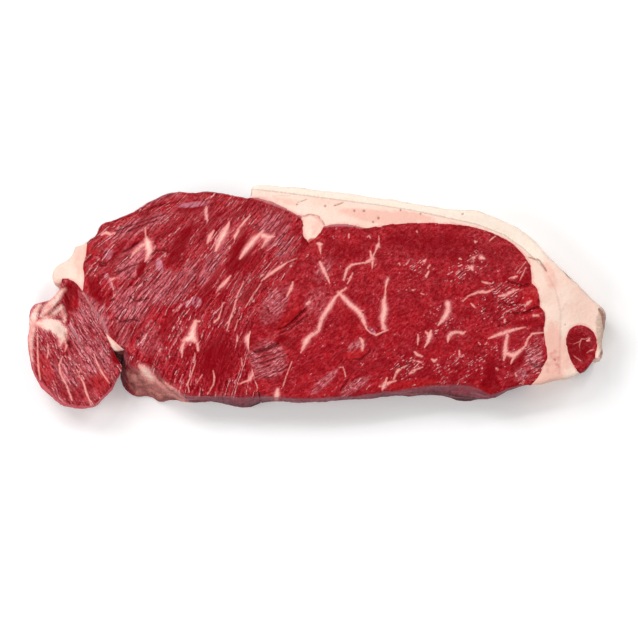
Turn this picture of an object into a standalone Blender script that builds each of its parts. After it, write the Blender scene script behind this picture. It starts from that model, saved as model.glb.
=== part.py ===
"""Raw beef striploin steak, lying on its flat underside with the cut face up.

The steak is a slab of two large muscles, the fat round them, a small muscle at the thin end
and a folded flap of flank at the other end. Every piece of it runs through the thickness.
Its plan is drawn in millimetres, with +X along the steak, +Y to the edge with the fat on it
and +Z up. The origin is on the underside, below the middle of the outline's box.
"""

import math

import bpy
import numpy as np
from mathutils import Vector, geometry, noise

MM = 0.001

# Driving sizes in millimetres
THICKNESS = 21.0
SEAM_GAP = 0.3
RIM_RADIUS = 2.2
FLAP_RIM_RADIUS = 5.0
FLAP_STARTS_X = -98.0
FLAP_RIM_BLEND = 10.0
FOOT_RADIUS = 1.6
SIDE_BULGE = 0.9
SIDE_BULGE_REACH = 4.0
SEAM_END_CALM = 4.0
SIDE_WAVE = 1.1
SIDE_WAVE_LENGTH = 13.0
GRAIN_ANGLE = math.radians(62.0)

# Mesh spacing in millimetres
EDGE_SPACING = 3.0
TOP_SPACING = 3.1
UNDERSIDE_SPACING = 9.0
TOP_RIM_ROWS = (0.7, 1.8, 3.6)
FOOT_RIM_ROWS = (1.7,)
GROOVE_ROWS = (-1.5, 0.0, 1.5)
SIDE_LEVELS = (0.0, 0.25, 0.5, 0.75, 1.0)
SEAM_LEVELS = (0.0, 1.0)
SPLINE_STEPS = 10

# Corners where the edge of the steak and the seams between its pieces meet
SIDE_FAT_TOP = (-104.8, 25.2)
SIDE_FAT_FOOT = (-106.2, 1.4)
FLAP_TIP_LEFT = (-117.2, 4.6)
WEDGE_TIP = (-96.6, -17.4)
WEDGE_RUMP = (-86.9, -25.2)
WEDGE_FLAP = (-92.6, -26.0)
CAP_START = (-31.4, 44.4)
NOTCH_LEFT = (-7.8, 35.5)
NOTCH_RIGHT = (2.2, 31.0)
NOTCH_FOOT = (-4.8, 23.1)
SEAM_FOOT = (-26.5, -46.6)
EYE_CORNER = (94.6, -41.4)
TAIL_UPPER = (124.2, -29.0)
TAIL_LOWER = (117.4, -36.2)

# The steak's edge on the cut face, piece by piece
EDGES = {
    "rump_back": [
        SIDE_FAT_TOP, (-100.6, 27.2), (-98.9, 32.4), (-91.2, 34.7), (-82.8, 38.7), (-78.9, 41.9), (-70.2, 46),
        (-63.5, 47.7), (-58, 47), (-51, 47.6), (-43, 46.4), (-35.5, 44.9), CAP_START,
    ],
    "cap_back": [
        CAP_START, (-31.1, 47.5), (-29.8, 50.3), (-24, 50.5), (-10, 49.2), (10, 46.9), (30, 44.3), (48, 40.8),
        (60, 39.1), (71, 38.3), (80, 35.6), (90.2, 30.8), (98, 24.4), (105, 16.4), (114.5, 7.3), (124.4, -2.9),
        (128.8, -6), (129.2, -8.6), (128.7, -14), (127.8, -20), (127.6, -23.4), (128.2, -26.6),
        (127.2, -29.8), TAIL_UPPER,
    ],
    "tail_front": [TAIL_UPPER, (122.8, -31.4), (120.1, -34.6), TAIL_LOWER],
    "cap_front": [TAIL_LOWER, (112, -38.1), (105, -39.2), (99.5, -41), EYE_CORNER],
    "eye_front": [
        EYE_CORNER, (87, -42.6), (80.5, -45.2), (76, -45.6), (71.5, -43.2), (64, -41.6), (50, -41.6),
        (40, -43.3), (24, -45.6), (10, -47), (-6, -47.7), (-17, -47.2), SEAM_FOOT,
    ],
    "rump_front": [
        SEAM_FOOT, (-33, -47.4), (-42, -46.6), (-52, -46.4), (-61, -46), (-64.6, -42.8), (-70, -39.6),
        (-73.6, -34), (-79.5, -33.2), (-84.6, -29.6), WEDGE_RUMP,
    ],
    "wedge_gap": [WEDGE_RUMP, WEDGE_FLAP],
    "flap_edge": [
        WEDGE_FLAP, (-89.6, -30.6), (-88, -33.6), (-90.2, -38.4), (-93.7, -44), (-97.6, -47.6), (-99.2, -50.4),
        (-104, -51.2), (-110, -51.1), (-116.6, -48.9), (-122, -43.4), (-127.6, -36.9), (-130.2, -29.8),
        (-131.1, -21), (-130.4, -13.2), (-130.4, -6.6), (-127.2, -3.3), (-122.8, -3), (-119.8, -0.4),
        (-117.9, 2), FLAP_TIP_LEFT,
    ],
    "side_fat_edge": [
        FLAP_TIP_LEFT, (-120, 5.7), (-121, 9.4), (-120, 13.3), (-115, 16.4), (-111.6, 18.9),
        (-110.4, 22.4), (-107, 23.4), SIDE_FAT_TOP,
    ],
}

# The seams inside the steak, each shared by the two pieces that meet there
SEAMS = {
    "rump_cap": [CAP_START, (-26, 44), (-19, 41.2), (-13, 38), NOTCH_LEFT],
    "notch_left": [NOTCH_LEFT, (-7.2, 30.5), (-6.7, 25.6), NOTCH_FOOT],
    "notch_right": [NOTCH_FOOT, (-1.6, 25), (0.3, 27.6), (0.8, 30), NOTCH_RIGHT],
    "notch_top": [NOTCH_LEFT, (-5, 36.1), (-2.2, 35.6), (0.4, 33.8), NOTCH_RIGHT],
    "muscle_seam": [
        NOTCH_FOOT, (-11, 14), (-18.5, 4), (-26, -6), (-30.6, -17), (-31.6, -26), (-29.8, -35.4), SEAM_FOOT,
    ],
    "eye_cap": [
        NOTCH_RIGHT, (9, 31.8), (16, 31.4), (20.4, 29.7), (29, 31), (41, 32.4), (56, 32), (68, 30.8),
        (79, 27.4), (87, 23.2), (93.4, 16.8), (95.8, 11), (95.9, 5.2), (98.4, 3.2), (99.2, -4.8),
        (101.4, -8.2), (101.6, -12.4), (101, -17), (102.4, -25), (102.8, -29.2), (100.6, -33),
        (99, -36.6), EYE_CORNER,
    ],
    "tail_seam": [
        TAIL_LOWER, (113, -30.2), (111.2, -22.6), (112.6, -15.6), (117.4, -13.6), (122.4, -15.4),
        (125, -19.6), (124.9, -25), TAIL_UPPER,
    ],
    "rump_wedge": [WEDGE_RUMP, WEDGE_TIP],
    "rump_flap": [WEDGE_TIP, (-99.6, -11.4), (-103, -5.2), SIDE_FAT_FOOT],
    "rump_side_fat": [SIDE_FAT_FOOT, (-105.4, 7), (-106.4, 12), (-105.2, 18), SIDE_FAT_TOP],
    "flap_side_fat": [FLAP_TIP_LEFT, (-115.6, 7.8), (-111, 6.6), SIDE_FAT_FOOT],
    "flap_wedge": [WEDGE_TIP, WEDGE_FLAP],
}

# Each piece's outline, as the edges and seams met on the way round it; a minus runs one backwards
PIECES = {
    "rump_muscle": "rump_back rump_cap notch_left muscle_seam rump_front rump_wedge rump_flap rump_side_fat",
    "loin_eye": "notch_right eye_cap eye_front -muscle_seam",
    "fat_cap": "cap_back -tail_seam cap_front -eye_cap -notch_top -rump_cap",
    "seam_fat": "notch_top -notch_right -notch_left",
    "tail_muscle": "tail_front tail_seam",
    "side_fat": "side_fat_edge -rump_side_fat -flap_side_fat",
    "flap": "flap_edge flap_side_fat -rump_flap flap_wedge",
    "fat_wedge": "wedge_gap -flap_wedge -rump_wedge",
}

# Swells and hollows of the cut face: x, y, height, radius along x and radius along y
SWELLS = [
    (-66, 8, 1.5, 26, 22),
    (36, -6, 1.2, 34, 22),
    (-6, -40, -0.8, 20, 12),
    (-60, 46, -1.6, 26, 9),
    (-55, -46, -1.4, 22, 8),
    (50, -42, -1.2, 20, 6),
    (10, 46, -1.6, 40, 9),
    (92, 26, -1.4, 16, 12),
    (-103.5, 6, 0.9, 4, 8),
    (-101, 17.4, -2.8, 4.5, 3),
    (76, -42, -2, 5, 4.5),
    (-24, -31, -0.7, 8, 9),
    (-114, 13, -4.6, 9, 10),
    (-110, -26, -1.6, 16, 20),
    (-111, 0, -2.6, 4, 7),
    (-119, -4, 0.9, 7, 4),
    (-110, -27, -1.4, 5, 4),
    (-121, -16, 1, 5, 5),
    (124, -16, -2.8, 16, 20),
    (-92, -28, -2.5, 4, 6),
]

# Creases and grooves of the cut face: points, depth and half width
CREASES = {
    "cap_layers": (
        [(-30.6, 48.2), (-22, 47.4), (-6, 45.4), (12, 43), (28, 40.8), (42, 38.4), (60, 34.4), (72, 31.8),
         (84, 27.2), (92, 21.4), (98.6, 14.8), (103, 10)], 0.7, 1.3),
    "upper_lobe": ([(97, 4.3), (92, 4), (84, 4.2)], 1.2, 1.6),
    "lower_lobe": ([(100.8, -6), (95, -7.6), (88, -8.8)], 1.2, 1.6),
    "seam_upper": ([(-20, -16), (-10, -10.2), (-5, -6)], 1.1, 1.7),
    "seam_lower": ([(-29.6, -25.4), (-20, -24.2), (-13, -19.6)], 1.1, 1.7),
    "silver_line": ([SIDE_FAT_FOOT, (-103, -5.2), (-99.6, -11.4), WEDGE_TIP], 1.3, 1.6),
    "flap_fold": ([(-115, -16.4), (-112.4, -20), (-106, -23.6)], 1.6, 1.8),
    "flap_layer": ([(-115, -29), (-116, -36), (-110, -46)], 0.8, 1.5),
    "tip_fold": ([(-115.4, -9.6), (-120, -10.6), (-125, -9.8)], 1.1, 1.6),
}

# How far the foot of the side stands out from the cut face's edge: x, y, along x, along y, radius
FEET = [
    (-77, -37, -3.4, -11.2, 8.5),
    (-83, -37, -1.6, -2, 5),
    (-87, -29, -4.4, -3.6, 4.5),
    (-35, -47, 0, -2.6, 7),
    (5, -47, 0, 1.6, 20),
    (50, -42, 0, -2.2, 10),
    (66, -43, 0, -4.4, 6),
    (86, -43, 0, 2.2, 8),
    (103, -39, 0, 2.6, 9),
    (119, -34, -1.6, 2, 7),
]
FLAP_FEET = [
    (-89, -33, -6, 1.6, 6),
    (-93, -25, -2.6, -0.4, 5),
    (-105, -50, 0, 2, 10),
    (-95, -46, -2, 3, 6),
]

# Colours, and the colour and roughness of each piece
LEAN_RED = (0.66, 0.19, 0.22)
GRAINY_RED = (0.66, 0.24, 0.28)
TAIL_RED = (0.61, 0.18, 0.19)
FLAP_RED = (0.72, 0.32, 0.34)
CAP_CREAM = (0.97, 0.88, 0.83)
SEAM_CREAM = (0.94, 0.75, 0.71)
SIDE_CREAM = (0.96, 0.83, 0.78)
FINISHES = {
    "rump_muscle": (GRAINY_RED, 0.34),
    "loin_eye": (LEAN_RED, 0.34),
    "fat_cap": (CAP_CREAM, 0.45),
    "seam_fat": (SEAM_CREAM, 0.45),
    "tail_muscle": (TAIL_RED, 0.34),
    "side_fat": (SIDE_CREAM, 0.45),
    "flap": (FLAP_RED, 0.34),
    "fat_wedge": (SEAM_CREAM, 0.45),
}


def clear_scene():
    for thing in list(bpy.data.objects):
        bpy.data.objects.remove(thing, do_unlink=True)


def rounded(points):
    """A smooth curve through the points, as many short steps."""
    points = np.array(points, float)
    if len(points) == 2:
        return points
    ends = np.vstack([2 * points[0] - points[1], points, 2 * points[-1] - points[-2]])
    share = np.linspace(0, 1, SPLINE_STEPS, endpoint=False)[:, None]
    runs = []
    for before, start, end, after in zip(ends, ends[1:], ends[2:], ends[3:]):
        straight = 2 * start + (end - before) * share
        bend = (2 * before - 5 * start + 4 * end - after) * share**2
        twist = (3 * (start - end) + after - before) * share**3
        runs.append((straight + bend + twist) / 2)
    return np.vstack(runs + [points[-1:]])


def spaced(points, spacing):
    """Points at even distances along a curve, its ends kept."""
    lengths = np.hypot(*np.diff(points, axis=0).T)
    along = np.concatenate([[0], np.cumsum(lengths)])
    count = max(2, round(along[-1] / spacing)) + 1
    wanted = np.linspace(0, along[-1], count)
    return np.stack([np.interp(wanted, along, points[:, axis]) for axis in (0, 1)], axis=1)


LINES = {name: spaced(rounded(points), EDGE_SPACING) for name, points in {**EDGES, **SEAMS}.items()}


def outline_of(piece):
    """A piece's outline, anticlockwise, and which of its points lie on the steak's edge."""
    points, on_edge = [], []
    for word in PIECES[piece].split():
        name = word.lstrip("-")
        line = LINES[name][::-1] if word.startswith("-") else LINES[name]
        is_edge = name in EDGES
        if on_edge:
            on_edge[-1] = on_edge[-1] or is_edge
            line = line[1:]
        points.extend(line)
        on_edge.extend([is_edge] * len(line))
    on_edge[0] = on_edge[0] or on_edge[-1]
    points, on_edge = np.array(points[:-1]), np.array(on_edge[:-1])
    following = np.roll(points, -1, axis=0)
    area = np.sum(points[:, 0] * following[:, 1] - following[:, 0] * points[:, 1])
    return (points[::-1], on_edge[::-1]) if area < 0 else (points, on_edge)


def drawn_in(points, distance):
    """The outline moved inwards by the same distance all round."""
    ahead = np.roll(points, -1, axis=0) - points
    ahead /= np.hypot(*ahead.T)[:, None]
    inward = np.stack([-ahead[:, 1], ahead[:, 0]], axis=1)
    both = inward + np.roll(inward, 1, axis=0)
    squared = np.maximum(np.sum(both**2, axis=1), 0.4)
    return points + both * (2 * distance / squared)[:, None]


def distance_to(points, line):
    """Each point's distance to an open line, and the nearest point on it."""
    start, step = line[:-1], np.diff(line, axis=0)
    offset = points[:, None] - start
    share = np.clip(np.sum(offset * step, axis=2) / np.sum(step**2, axis=1), 0, 1)
    near = start + share[..., None] * step
    distance = np.linalg.norm(points[:, None] - near, axis=2)
    best = np.argmin(distance, axis=1)
    rows = np.arange(len(points))
    return distance[rows, best], near[rows, best]


def distance_to_edge(points):
    """Each point's distance to the steak's edge, and the direction out to it."""
    found = [distance_to(points, LINES[name]) for name in EDGES]
    distances = np.array([distance for distance, _ in found])
    best = np.argmin(distances, axis=0)
    rows = np.arange(len(points))
    near = np.array([near for _, near in found])[best, rows]
    distance = distances[best, rows]
    return distance, (near - points) / np.maximum(distance, 1e-6)[:, None]


def calm_at_seam_ends(points):
    """0 where a seam comes out at the steak's edge, rising to 1 away from it."""
    ends = np.array([EDGES[name][0] for name in EDGES])
    nearest = np.min(np.linalg.norm(points[:, None] - ends[None], axis=2), axis=1)
    return 1 - np.exp(-((nearest / SEAM_END_CALM) ** 2))


def inside(points, outline):
    """Which points lie inside an outline, by the crossings of a ray along +X."""
    following = np.roll(outline, -1, axis=0)
    x, y = points[:, :1], points[:, 1:]
    crosses = (outline[:, 1] > y) != (following[:, 1] > y)
    rise = np.where(following[:, 1] == outline[:, 1], 1e-9, following[:, 1] - outline[:, 1])
    at = outline[:, 0] + (y - outline[:, 1]) / rise * (following[:, 0] - outline[:, 0])
    return np.sum(crosses & (x < at), axis=1) % 2 == 1


def rim_drop(distance, radius):
    """How far a rounded rim falls away at a distance from the edge."""
    inner = np.clip(radius - distance, 0, radius)
    return radius - np.sqrt(np.maximum(radius**2 - inner**2, 0))


def rim_radius(points):
    share = np.clip((FLAP_STARTS_X - points[:, 0]) / FLAP_RIM_BLEND, 0, 1)
    return RIM_RADIUS + (FLAP_RIM_RADIUS - RIM_RADIUS) * share * share * (3 - 2 * share)


def unevenness(points):
    """The cut face's slow waves, and the long swells of the left muscle along its grain."""
    along = points @ np.array([math.cos(GRAIN_ANGLE), math.sin(GRAIN_ANGLE)])
    across = points @ np.array([math.sin(GRAIN_ANGLE), -math.cos(GRAIN_ANGLE)])
    grainy = 1 / (1 + np.exp((points[:, 0] + 25) / 8))
    waves = []
    for (x, y), u, v, share in zip(points, along, across, grainy):
        slow = 0.5 * noise.noise(Vector((x / 26, y / 26, 3.7)))
        close = 0.3 * noise.noise(Vector((x / 9, y / 9, 8.1)))
        grain = 0.55 * share * noise.noise(Vector((u / 24, v / 5.5, 1.3)))
        waves.append(slow + close + grain)
    return np.array(waves)


def top_height(points):
    """The height of the cut face, before its rim is rounded."""
    height = THICKNESS + unevenness(points)
    for x, y, rise, radius_x, radius_y in SWELLS:
        reach = ((points[:, 0] - x) / radius_x) ** 2 + ((points[:, 1] - y) / radius_y) ** 2
        height = height + rise * np.exp(-reach)
    for line, depth, half_width in CREASES.values():
        distance, _ = distance_to(points, rounded(line))
        height = height - depth * np.exp(-((distance / half_width) ** 2))
    return height


def side_waves(points, level):
    """How far the side stands out here and there between its foot and its rim."""
    waves = []
    for (x, y), rise in zip(points / SIDE_WAVE_LENGTH, level):
        waves.append(noise.noise(Vector((x, y, 1.6 * rise + 5.3))))
    return SIDE_WAVE * np.array(waves)


def placed(points, level, feet):
    """Points of the plan at levels from 0, the underside, to 1, the cut face, in millimetres."""
    level = np.broadcast_to(level, len(points))
    edge, outward = distance_to_edge(points)
    top = top_height(points) - rim_drop(edge, rim_radius(points))
    bottom = rim_drop(edge, FOOT_RADIUS)
    height = bottom + level * (top - bottom)
    swelling = (SIDE_BULGE + side_waves(points, level)) * np.sin(math.pi * level)
    swelling = swelling * np.exp(-((edge / SIDE_BULGE_REACH) ** 2)) * calm_at_seam_ends(points)
    plan = points + outward * swelling[:, None]
    for x, y, along_x, along_y, radius in feet:
        reach = ((points[:, 0] - x) ** 2 + (points[:, 1] - y) ** 2) / (2 * radius**2)
        plan = plan + np.outer((1 - level) * np.exp(-reach), (along_x, along_y))
    return np.column_stack([plan, height])


def grid_inside(outline, spacing):
    """A grid of even triangles over the outline's box."""
    low, high = outline.min(axis=0), outline.max(axis=0)
    row_height = spacing * math.sqrt(3) / 2
    rows = np.arange(math.floor(low[1] / row_height), math.ceil(high[1] / row_height) + 1)
    columns = np.arange(math.floor(low[0] / spacing) - 1, math.ceil(high[0] / spacing) + 1)
    column, row = np.meshgrid(columns, rows)
    x = (column + 0.5 * (row % 2)) * spacing
    return np.column_stack([x.ravel(), (row * row_height).ravel()])


def thinned(points, kept, clearance):
    """The points that stay clear of those already kept."""
    if not len(kept) or not len(points):
        return points
    nearest = np.min(np.linalg.norm(points[:, None] - kept[None], axis=2), axis=1)
    return points[nearest > clearance]


def beside(line, offset):
    """A line moved sideways."""
    ahead = np.gradient(line, axis=0)
    ahead /= np.hypot(*ahead.T)[:, None]
    return line + offset * np.stack([-ahead[:, 1], ahead[:, 0]], axis=1)


def inner_points(outline, on_edge, spacing, rim_rows, with_grooves):
    """The points inside a piece's face: rows along its outer rim and its grooves, then an even grid."""
    closed = np.vstack([outline, outline[:1]])
    kept = np.empty((0, 2))
    for row in rim_rows:
        line = drawn_in(outline, row)[on_edge]
        line = line[inside(line, outline)]
        line = line[distance_to(line, closed)[0] > 0.8 * row]
        kept = np.vstack([kept, thinned(line, kept, 0.5)])
    if with_grooves:
        for points, _, _ in CREASES.values():
            groove = spaced(rounded(points), EDGE_SPACING)
            for offset in GROOVE_ROWS:
                line = beside(groove, offset)
                line = line[inside(line, outline)]
                line = line[distance_to(line, closed)[0] > 0.9]
                kept = np.vstack([kept, thinned(line, kept, 1.0)])
    grid = grid_inside(outline, spacing)
    grid = grid[inside(grid, outline)]
    grid = grid[distance_to(grid, closed)[0] > 0.5 * spacing]
    return np.vstack([kept, thinned(grid, kept, 0.55 * spacing)])


def face_of(outline, inner):
    """Triangles over an outline and the points inside it, by the outline's and the points' numbers."""
    points = [Vector(point) for point in np.vstack([outline, inner])]
    border = [list(range(len(outline)))]
    found = geometry.delaunay_2d_cdt(points, [], border, 1, 1e-7)
    corners, triangles, origins = found[0], found[2], found[3]
    triangles = [[origins[corner][0] for corner in triangle] for triangle in triangles]
    if len(corners) != len(points):
        raise ValueError("two points of a face fall together")
    return triangles


def side_between(first, second, start_first):
    """Triangles between two upright columns, each a list of (level, vertex number)."""
    triangles = []
    i, j = 0, 0
    while i < len(first) - 1 or j < len(second) - 1:
        level_i = first[i + 1][0] if i < len(first) - 1 else 2
        level_j = second[j + 1][0] if j < len(second) - 1 else 2
        if level_i < level_j or (level_i == level_j and start_first):
            triangles.append((first[i][1], second[j][1], first[i + 1][1]))
            i += 1
        else:
            triangles.append((first[i][1], second[j][1], second[j + 1][1]))
            j += 1
    return triangles


def solid_of(piece):
    """A piece's corners in millimetres and its triangles, as one closed body."""
    feet = FLAP_FEET if piece == "flap" else FEET
    outline, on_edge = outline_of(piece)
    outline = drawn_in(outline, SEAM_GAP / 2)
    top_inner = inner_points(outline, on_edge, TOP_SPACING, TOP_RIM_ROWS, True)
    low_inner = inner_points(outline, on_edge, UNDERSIDE_SPACING, FOOT_RIM_ROWS, False)

    corners, columns = [], [[] for _ in outline]
    count = 0
    for level in SIDE_LEVELS:
        used = np.full(len(outline), True) if level in SEAM_LEVELS else on_edge
        corners.append(placed(outline[used], level, feet))
        for number in np.flatnonzero(used):
            columns[number].append((level, count))
            count += 1
    corners.append(placed(top_inner, 1.0, feet))
    top_numbers = [column[-1][1] for column in columns] + list(range(count, count + len(top_inner)))
    count += len(top_inner)
    corners.append(placed(low_inner, 0.0, feet))
    low_numbers = [column[0][1] for column in columns] + list(range(count, count + len(low_inner)))

    triangles = [[top_numbers[corner] for corner in face] for face in face_of(outline, top_inner)]
    triangles += [[low_numbers[corner] for corner in face[::-1]] for face in face_of(outline, low_inner)]
    for number, column in enumerate(columns):
        following = (number + 1) % len(columns)
        start_first = tuple(outline[number]) < tuple(outline[following])
        triangles += side_between(column, columns[following], start_first)
    return np.vstack(corners), triangles


def linear(colour):
    return [((value + 0.055) / 1.055) ** 2.4 for value in colour]


def finish_of(piece):
    """The piece's own material."""
    colour, roughness = FINISHES[piece]
    material = bpy.data.materials.new(piece + "_finish")
    material.use_nodes = True
    shader = material.node_tree.nodes["Principled BSDF"]
    shader.inputs["Base Color"].default_value = (*linear(colour), 1)
    shader.inputs["Roughness"].default_value = roughness
    shader.inputs["Metallic"].default_value = 0.0
    return material


def make_piece(piece, corners, triangles):
    mesh = bpy.data.meshes.new(piece)
    mesh.from_pydata((corners * MM).tolist(), [], triangles)
    mesh.validate()
    mesh.shade_smooth()
    mesh.set_sharp_from_angle(angle=math.radians(50))
    mesh.materials.append(finish_of(piece))
    body = bpy.data.objects.new(piece, mesh)
    bpy.context.scene.collection.objects.link(body)
    return body


def main():
    clear_scene()
    solids = {piece: solid_of(piece) for piece in PIECES}
    everything = np.vstack([corners for corners, _ in solids.values()])
    middle = (everything.min(axis=0) + everything.max(axis=0)) / 2
    for piece, (corners, triangles) in solids.items():
        make_piece(piece, corners - (middle[0], middle[1], 0), triangles)


main()
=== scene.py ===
"""Looks of a raw beef striploin steak that lies on its flat underside, cut face up.

Each piece starts from its own solid in the frame. Its surface is made finer, closed up against its
neighbours, roughened with the grain, creases and ragged edges of cut meat, and marked with where
its marbling, tones and grain lie, which the materials read. Plan sizes are in millimetres.
"""

import itertools
import math

import bpy
import numpy as np
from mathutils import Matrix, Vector
from mathutils.kdtree import KDTree


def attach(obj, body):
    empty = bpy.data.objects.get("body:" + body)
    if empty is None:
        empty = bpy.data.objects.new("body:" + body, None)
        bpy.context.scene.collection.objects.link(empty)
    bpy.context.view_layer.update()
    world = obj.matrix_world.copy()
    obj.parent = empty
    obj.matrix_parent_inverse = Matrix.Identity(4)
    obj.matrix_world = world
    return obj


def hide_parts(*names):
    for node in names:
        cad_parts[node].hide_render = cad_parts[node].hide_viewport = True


bl_info = {
    "name": "Raw striploin steak",
    "version": (1, 0, 0),
    "blender": (4, 5, 0),
    "location": "3D Viewport > Sidebar > Steak",
    "description": "Dresses the solids of a raw striploin steak with cut meat, fat and marbling",
    "category": "Object",
}

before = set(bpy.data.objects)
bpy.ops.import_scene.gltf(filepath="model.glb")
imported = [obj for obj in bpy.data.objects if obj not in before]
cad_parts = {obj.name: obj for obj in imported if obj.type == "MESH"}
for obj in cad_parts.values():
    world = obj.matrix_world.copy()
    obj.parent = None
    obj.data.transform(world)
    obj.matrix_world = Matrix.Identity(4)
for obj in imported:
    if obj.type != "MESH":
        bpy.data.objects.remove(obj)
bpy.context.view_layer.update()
MM = 0.001

# How the solids' surfaces are made finer
SMOOTH_LEVELS = 2
FINE_LEVELS = 1
SHARP_ANGLE = math.radians(52)
SHADING_ANGLE = math.radians(60)
CORNER_BEND = 0.9
# A seam wall spans at least this share of the thickness, and is pushed out so far, past the seam's middle
SEAM_WALL_SHARE = 0.6
SEAM_PUSH = 0.3
# The outer side begins where the surface's normal rises less than this, and fades in over so much
SIDE_RISE = 0.66
SIDE_FADE = 0.4
# The cut face's relief grows from nothing at this height to all of it over so much
RELIEF_FROM = 3
RELIEF_FADE = 5
# Layers of unevenness: height, wavelengths and seed. The ragged edge of the cut has some for x and some for y
RAGGEDNESS = [
    [(0.34, 6.5, 1), (0.16, 2.2, 2), (0.08, 0.9, 20)],
    [(0.34, 6.5, 3), (0.16, 2.2, 4), (0.08, 0.9, 21)],
]
GRAIN_RIDGES = [(1, (13, 2.6, 1), 5), (0.45, (5, 1.2, 1), 6)]
LEAN_UNEVENNESS = [(0.12, 4.5, 7)]
FAT_UNEVENNESS = [(0.14, 5, 10), (0.07, 1.6, 11)]
SIDE_UNEVENNESS = [(0.28, (7, 7, 4), 8), (0.14, 1.8, 9)]
# How much of the lean's relief marbling evens out and how far it stands up, and how deep cracks in fat are
MARBLING_EVENS = 0.75
MARBLING_RISE = 0.12
CRACK_DEPTH = 0.5
# How fast a crease comes in from its ends, and the share of it that counts as its core
CREASE_TAPER = 2.5
CREASE_CORE = 0.35
# How far a soft patch reaches, in its radii, of which the last whole one fades
PATCH_REACH = 1.45
# The cap's outer layer: how soft its inner edge is, the x at which it ends, and over how much it fades there
LAYER_SOFTNESS = 0.6
OUTER_LAYER_END = 106
OUTER_LAYER_FADE = 6
# How far off a mark, a lean piece's rim and a fat piece's rim still count
MARK_REACH = 6.0
LEAN_RIM_REACH = 6.0
FAT_RIM_REACH = 12.0
# How far beside a pale line its shade lies, across the grain
SHADE_OFFSET = 0.36

# The photograph's camera: its elevation and distance, the point it looks at and its lens
CAMERA_ELEVATION = math.radians(82)
CAMERA_DISTANCE = 1.1
CAMERA_TARGET = (0.00096, -0.0106, 0.011)
CAMERA_LENS = 136.8
CAMERA_SENSOR = 36.0

# The direction of the grain, in degrees from +X, at pegs set over each muscle: x, y, angle
GRAIN_PEGS = {
    "rump_muscle": [
        (-93, 25, 25), (-84, 32, 24), (-70, 38, 22), (-57, 40, 22), (-45, 42, 40), (-96, 2, 45),
        (-84, 11, 38), (-75, 20, 36), (-75, -3, 45), (-79, -16, 54), (-66, 11, 48), (-61, 25, 52),
        (-52, 29, 56), (-52, -3, 60), (-43, 16, 60), (-34, 25, 58), (-25, 20, 60), (-25, 2, 62),
        (-34, -16, 76), (-43, -25, 82), (-52, -30, 86), (-57, -43, 88), (-39, -43, 80), (-66, -25, 72),
        (-12, 25, 50), (-14, 12, 60), (-70, -34, 74), (-88, -14, 45), (-48, -14, 74), (-60, -18, 68),
    ],
    "loin_eye": [
        (-12, 2, 60), (-7, -7, 58), (-20, -16, 38), (-24, -28, 18), (-18, -37, 24), (-12, -25, 30),
        (-7, -39, 35), (2, -2, 60), (16, -2, 50), (38, 7, 45), (61, 7, 40), (83, -2, 25), (92, -20, 25),
        (61, -25, 27), (38, -30, 28), (16, -34, 35), (7, 20, 60), (38, 25, 45), (83, 20, 35), (30, -40, 30),
        (61, -40, 24), (96, -35, 30), (75, -12, 25),
    ],
    "flap": [
        (-122, -14, -80), (-111, -32, -62), (-100, -32, -52), (-115, -41, -58), (-106, -14, -40),
        (-120, -27, -78), (-98, -18, -45), (-108, 8, -60), (-105, -45, -60),
    ],
    "tail_muscle": [(113, -20, 60), (121, -20, 50), (117, -30, 55)],
}
# The degree of the polynomial that follows the pegs, its grid, and how softly the pegs pull close by
GRAIN_DEGREE = 5
GRAIN_STEP = 3.0
PEG_SOFTNESS = 20

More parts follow.
